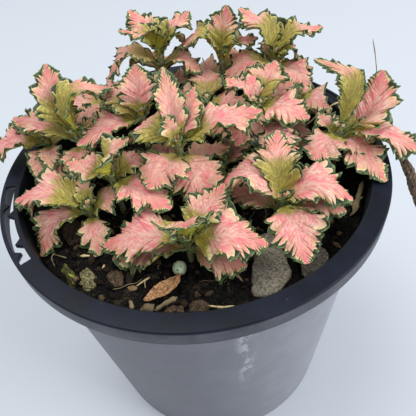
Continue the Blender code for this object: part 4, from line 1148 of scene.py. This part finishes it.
def makeDeadStem(form):
    # A tube whose radius varies round it in twisted ridges, and along it with soft noise.
    knots = np.arange(len(form["path"]))
    run = np.linspace(0, knots[-1], form["rings"])
    line = easedPath(run, knots, form["path"])
    wobble = 0.15 * np.stack([np.sin(run * 3.1), np.cos(run * 2.3), np.sin(run * 4.7)], 1)
    turn = fullTurn(form["sides"])
    s = run[:, None]
    ridges = (1 + 0.15 * np.sin(3 * turn + 2.2 * s) + 0.10 * np.sin(7 * turn - 1.5 * s)
              + 0.06 * np.sin(12 * turn + 3 * s))
    knobs = 1 + 0.10 * np.sin(5.3 * s + np.sin(2 * turn)) + 0.05 * np.sin(17 * s + 4 * turn)
    radii = easedCurve(run, knots, form["radii"])[:, None] * ridges * knobs
    tube = ringTube(line + wobble, radii, form["sides"])
    skin = Finish("dryStem", roughness=0.9)
    spot = skin.place()
    fibre = skin.noise(skin.stretched(spot, (1, 1, 0.25)), 1500, 4, 0.65)
    patch = skin.noise(spot, 260, 3)
    colour = skin.layers(
        tone(46, 36, 30),
        (fibre.smooth(0.38, 0.62), tone(128, 104, 82)),
        (patch.smooth(0.5, 0.65) * 0.6, tone(62, 46, 38)))
    skin.paint("Base Color", colour)
    skin.bump(fibre, 0.8, 0.0008)
    addPiece("fibrous_stem", *tube, {}, skin, "dead_stem", "dead_stem")


fibreForm = dict(
    seed=3, fibres=160, reach=59.5, bend=0.55, step=(1.2, 3.4), lift=(0.5, 2.2), radius=(0.07, 0.15),
    shades=(0.02, 0.36), detail=(13, 6), strawDetail=(24, 12))  # rings and sides of each tube


def randomFibres(form):
    # Fine roots on the mix: each wanders in four steps from a random place and keeps just over the surface.
    draw = np.random.default_rng(form["seed"])
    made = []
    while len(made) < form["fibres"]:
        away, turn = form["reach"] * math.sqrt(draw.uniform()), draw.uniform(0, 2 * math.pi)
        heading = draw.uniform(0, 2 * math.pi) + np.cumsum(draw.normal(0, form["bend"], 5))
        step = draw.uniform(*form["step"])
        x = away * math.cos(turn) + np.cumsum(step * np.cos(heading))
        y = away * math.sin(turn) + np.cumsum(step * np.sin(heading))
        if np.hypot(x, y).max() > form["reach"] or nearLitter(x, y).min() < 1:
            continue
        z = mixHeight(x, y) + draw.uniform(*form["lift"], 5)
        made.append((np.stack([x, y, z], 1), draw.uniform(*form["radius"]), draw.uniform(*form["shades"])))
    return made


def makeStraws(form):
    # One closed mesh of thin tubes, each along a soft curve through its points.
    parts = []
    for number, (path, radius, pale) in enumerate(list(straws) + randomFibres(form)):
        steps, sides = form["strawDetail" if number < len(straws) else "detail"]
        knots = np.arange(len(path))
        run = np.linspace(0, knots[-1], steps)
        s = run[:, None]
        rough = 1 + 0.18 * np.sin(2 * fullTurn(sides) + 3 * s + number) + 0.1 * np.sin(9 * s + number)
        taper = np.clip(np.minimum(s, run[-1] - s) * 4, 0.35, 1)
        points, faces = ringTube(easedPath(run, knots, path), radius * rough * taper, sides)
        parts.append((points, faces, {"pale": np.full(len(points), pale)}))
    skin = Finish("dryStraw", roughness=0.8)
    grain = skin.noise(skin.place(), 1400, 3, 0.6)
    coats = ((skin.attribute("pale"), tone(226, 204, 150)), (grain.smooth(0.55, 0.7) * 0.6, tone(90, 68, 48)))
    skin.paint("Base Color", skin.layers(tone(66, 52, 40), *coats))
    skin.bump(grain, 0.4, 0.0004)
    addPiece("straws", *joinParts(parts), skin, "dead_stem")


crumbForm = dict(
    seed=7, bits=1100, reach=59.5, size=1.5, sizes=(0.35, 1.0), lengths=(0.8, 1.8), flatness=0.35,
    profile=(0.35, 0.8, 1.0, 0.85, 0.4), bumps=(0.55, 1.15), sides=7)


def makeCrumbs(form):
    # Loose angular bits on the mix: short lumpy tubes, most of them dark, each at a random place.
    draw = np.random.default_rng(form["seed"])
    parts = []
    while len(parts) < form["bits"]:
        away, turn = form["reach"] * math.sqrt(draw.uniform()), draw.uniform(0, 2 * math.pi)
        x, y = away * math.cos(turn), away * math.sin(turn)
        size = draw.uniform(*form["sizes"]) ** 1.5 * form["size"]
        if nearLitter(x, y) < 1:
            continue
        ahead = draw.normal(size=3) * (1, 1, form["flatness"])
        ahead *= size * draw.uniform(*form["lengths"]) / np.linalg.norm(ahead)
        lift = mixHeight(x, y) + 0.2 + 0.4 * size
        rings = len(form["profile"])
        path = np.array((x, y, lift)) + np.linspace(-1, 1, rings)[:, None] * ahead
        bumps = draw.uniform(*form["bumps"], (rings, form["sides"]))
        radii = size * np.array(form["profile"])[:, None] * bumps
        points, faces = ringTube(path, radii, form["sides"])
        parts.append((points, faces, {"pale": np.full(len(points), draw.uniform() ** 8)}))
    skin = Finish("peatCrumb", roughness=0.9, Specular_IOR_Level=0.12)
    grain = skin.noise(skin.place(), 1800, 3, 0.6)
    coats = ((skin.attribute("pale"), tone(150, 122, 90)), (grain.smooth(0.5, 0.7) * 0.5, tone(46, 38, 32)))
    skin.paint("Base Color", skin.layers(tone(24, 21, 19), *coats))
    skin.bump(grain, 0.5, 0.0005)
    addPiece("peat_crumbs", *joinParts(parts), skin, "potting_mix", smooth=False)


makeCrumbs(crumbForm)
makeChips()
makePrill(prillForm)
makeDeadStem(deadStemForm)
makeStraws(fibreForm)
print("litter made")

lumpForm = dict(rings=150, segments=360, coarse=4.6, fine=1.7)  # lumps of these sizes, in millimetres


def cellRelief(x, y, size, seed):
    # Round lumps: one jittered seed in each square cell; the height falls from 1 at the nearest seed to 0.
    def hashed(i, j, k):
        return np.modf(np.abs(np.sin(i * 127.1 + j * 311.7 + k * 74.7 + seed) * 43758.5453))[0]

    column, line = np.floor(x / size), np.floor(y / size)
    best = np.full(x.shape, 9.0)
    value = np.zeros(x.shape)
    for di in (-1, 0, 1):
        for dj in (-1, 0, 1):
            i, j = column + di, line + dj
            px, py = (i + hashed(i, j, 0)) * size, (j + hashed(i, j, 1)) * size
            away = np.hypot(x - px, y - py) / size
            closer = away < best
            best = np.where(closer, away, best)
            value = np.where(closer, hashed(i, j, 2), value)
    return np.clip(1 - best * 1.25, 0, 1) ** 0.6, value


def mixFinish():
    # Near-black peat with brown and grey crumbs that catch the light.
    skin = Finish("pottingMix", roughness=0.85, Specular_IOR_Level=0.12)
    spot = skin.place()
    crumb = skin.attribute("crumb")
    grain = skin.noise(spot, 1300, 5, 0.7)
    patch = skin.noise(spot, 160, 3)
    fleck = skin.cells(spot, 900)
    colour = skin.layers(
        tone(6, 6, 7),
        (grain.smooth(0.40, 0.72), tone(42, 39, 36)),
        (crumb.smooth(0.66, 0.82) * grain.smooth(0.4, 0.6) * 0.7, tone(72, 58, 44)),
        (patch.smooth(0.55, 0.7) * 0.4, tone(34, 26, 20)),
        (fleck.smooth(0.13, 0.07) * patch.smooth(0.48, 0.56) * 0.8, tone(132, 112, 84)))
    skin.paint("Base Color", colour)
    skin.paint("Roughness", 0.92 - grain * 0.3)
    skin.bump(grain, 0.6, 0.0008)
    return skin


def makeMix(form):
    # Rings out to the wall: height = the solid's waves + two sizes of round crumbs, flat at the wall.
    low = mixForm["floor"] + 0.3
    base = mixForm["baseRadius"] - mixForm["wall"]
    reach = mixForm["radius"] - base

    def wall(z):
        return base + reach * (z - mixForm["floor"]) / (mixForm["potHeight"] - mixForm["floor"]) - 0.3

    ease = 6  # this many rings by the wall rise gently from it
    radius = wall(mixForm["level"] - 2) * np.linspace(0, 1, form["rings"] + 1)[1:, None]
    angle = fullTurn(form["segments"])
    x, y = radius * np.cos(angle), radius * np.sin(angle)
    coarse, first = cellRelief(x + 0.8 * np.sin(y), y + 0.8 * np.cos(x), form["coarse"], 3.0)
    fine, second = cellRelief(x + 0.3 * np.sin(2 * y), y, form["fine"], 8.0)
    lumps = (coarse * (0.4 + 1.6 * first) + fine * (0.3 + 0.8 * second)) - 0.7
    clear = nearLitter(x, y)
    lumps = lumps * clear - 0.7 * (1 - clear)
    z = mixHeight(x, y) + lumps * np.clip((form["rings"] + 1) * (1 - radius / radius.max()) / ease, 0, 1)
    foot = np.stack([wall(low) * np.cos(angle), wall(low) * np.sin(angle), low + 0 * angle], -1)
    points, faces = cappedGrid(np.concatenate([np.stack([x, y, z], -1), foot[None]]))
    points[-2] = (0, 0, mixHeight(0, 0) + 0.5)
    crumb = np.zeros(len(points))
    crumb[:x.size] = (0.5 * first + 0.5 * second).ravel()
    mixPiece = cleanPiece("bark_mix", points, faces[:, ::-1], dict(crumb=crumb), mixFinish())
    dress(mixPiece, "potting_mix", "potting_mix")


makeMix(lumpForm)
print("mix made")

stageForm = dict(size=6.0, floor=(202, 208, 215), sky=(0.90, 0.94, 1.0), skyStrength=0.70)

# Square soft boxes: the place and the point each faces in metres, the width, and the power in watts
lights = dict(
    key=dict(place=(-0.45, 0.2, 1.6), aim=(0, 0, 0.1), size=0.9, power=11.3, colour=(1.0, 0.98, 0.95)),
    fill=dict(place=(1.5, -0.5, 1.0), aim=(0, 0, 0.06), size=1.2, power=24.0, colour=(0.98, 0.99, 1.0)))


def makeStage(form):
    # A plain square floor, far wider than the view, under an even sky.
    mesh = bpy.data.meshes.new("floor")
    half = form["size"] / 2
    corners = [(-half, -half, 0), (half, -half, 0), (half, half, 0), (-half, half, 0)]
    mesh.from_pydata(corners, [], [(0, 1, 2, 3)])
    skin = Finish("paleFloor", roughness=0.7)
    skin.paint("Base Color", tone(*form["floor"]))
    mesh.materials.append(skin.material)
    floor = linked("floor", mesh)
    world = bpy.data.worlds.new("sky")
    world.use_nodes = True
    sky = world.node_tree.nodes["Background"]
    sky.inputs["Color"].default_value = (*form["sky"], 1)
    sky.inputs["Strength"].default_value = form["skyStrength"]
    bpy.context.scene.world = world
    bpy.context.scene.view_settings.view_transform = "Standard"


def makeLight(name, form):
    # The lamp shines along its own -Z, which is turned to the point it aims at.
    light = bpy.data.lights.new(name, "AREA")
    light.size = form["size"]
    light.energy = form["power"]
    light.color = form["colour"]
    lamp = linked(name, light)
    lamp.location = form["place"]
    facing = Vector(form["aim"]) - Vector(form["place"])
    lamp.rotation_euler = facing.to_track_quat("-Z", "Y").to_euler()


makeStage(stageForm)
for name, form in lights.items():
    makeLight(name, form)
print("stage set")
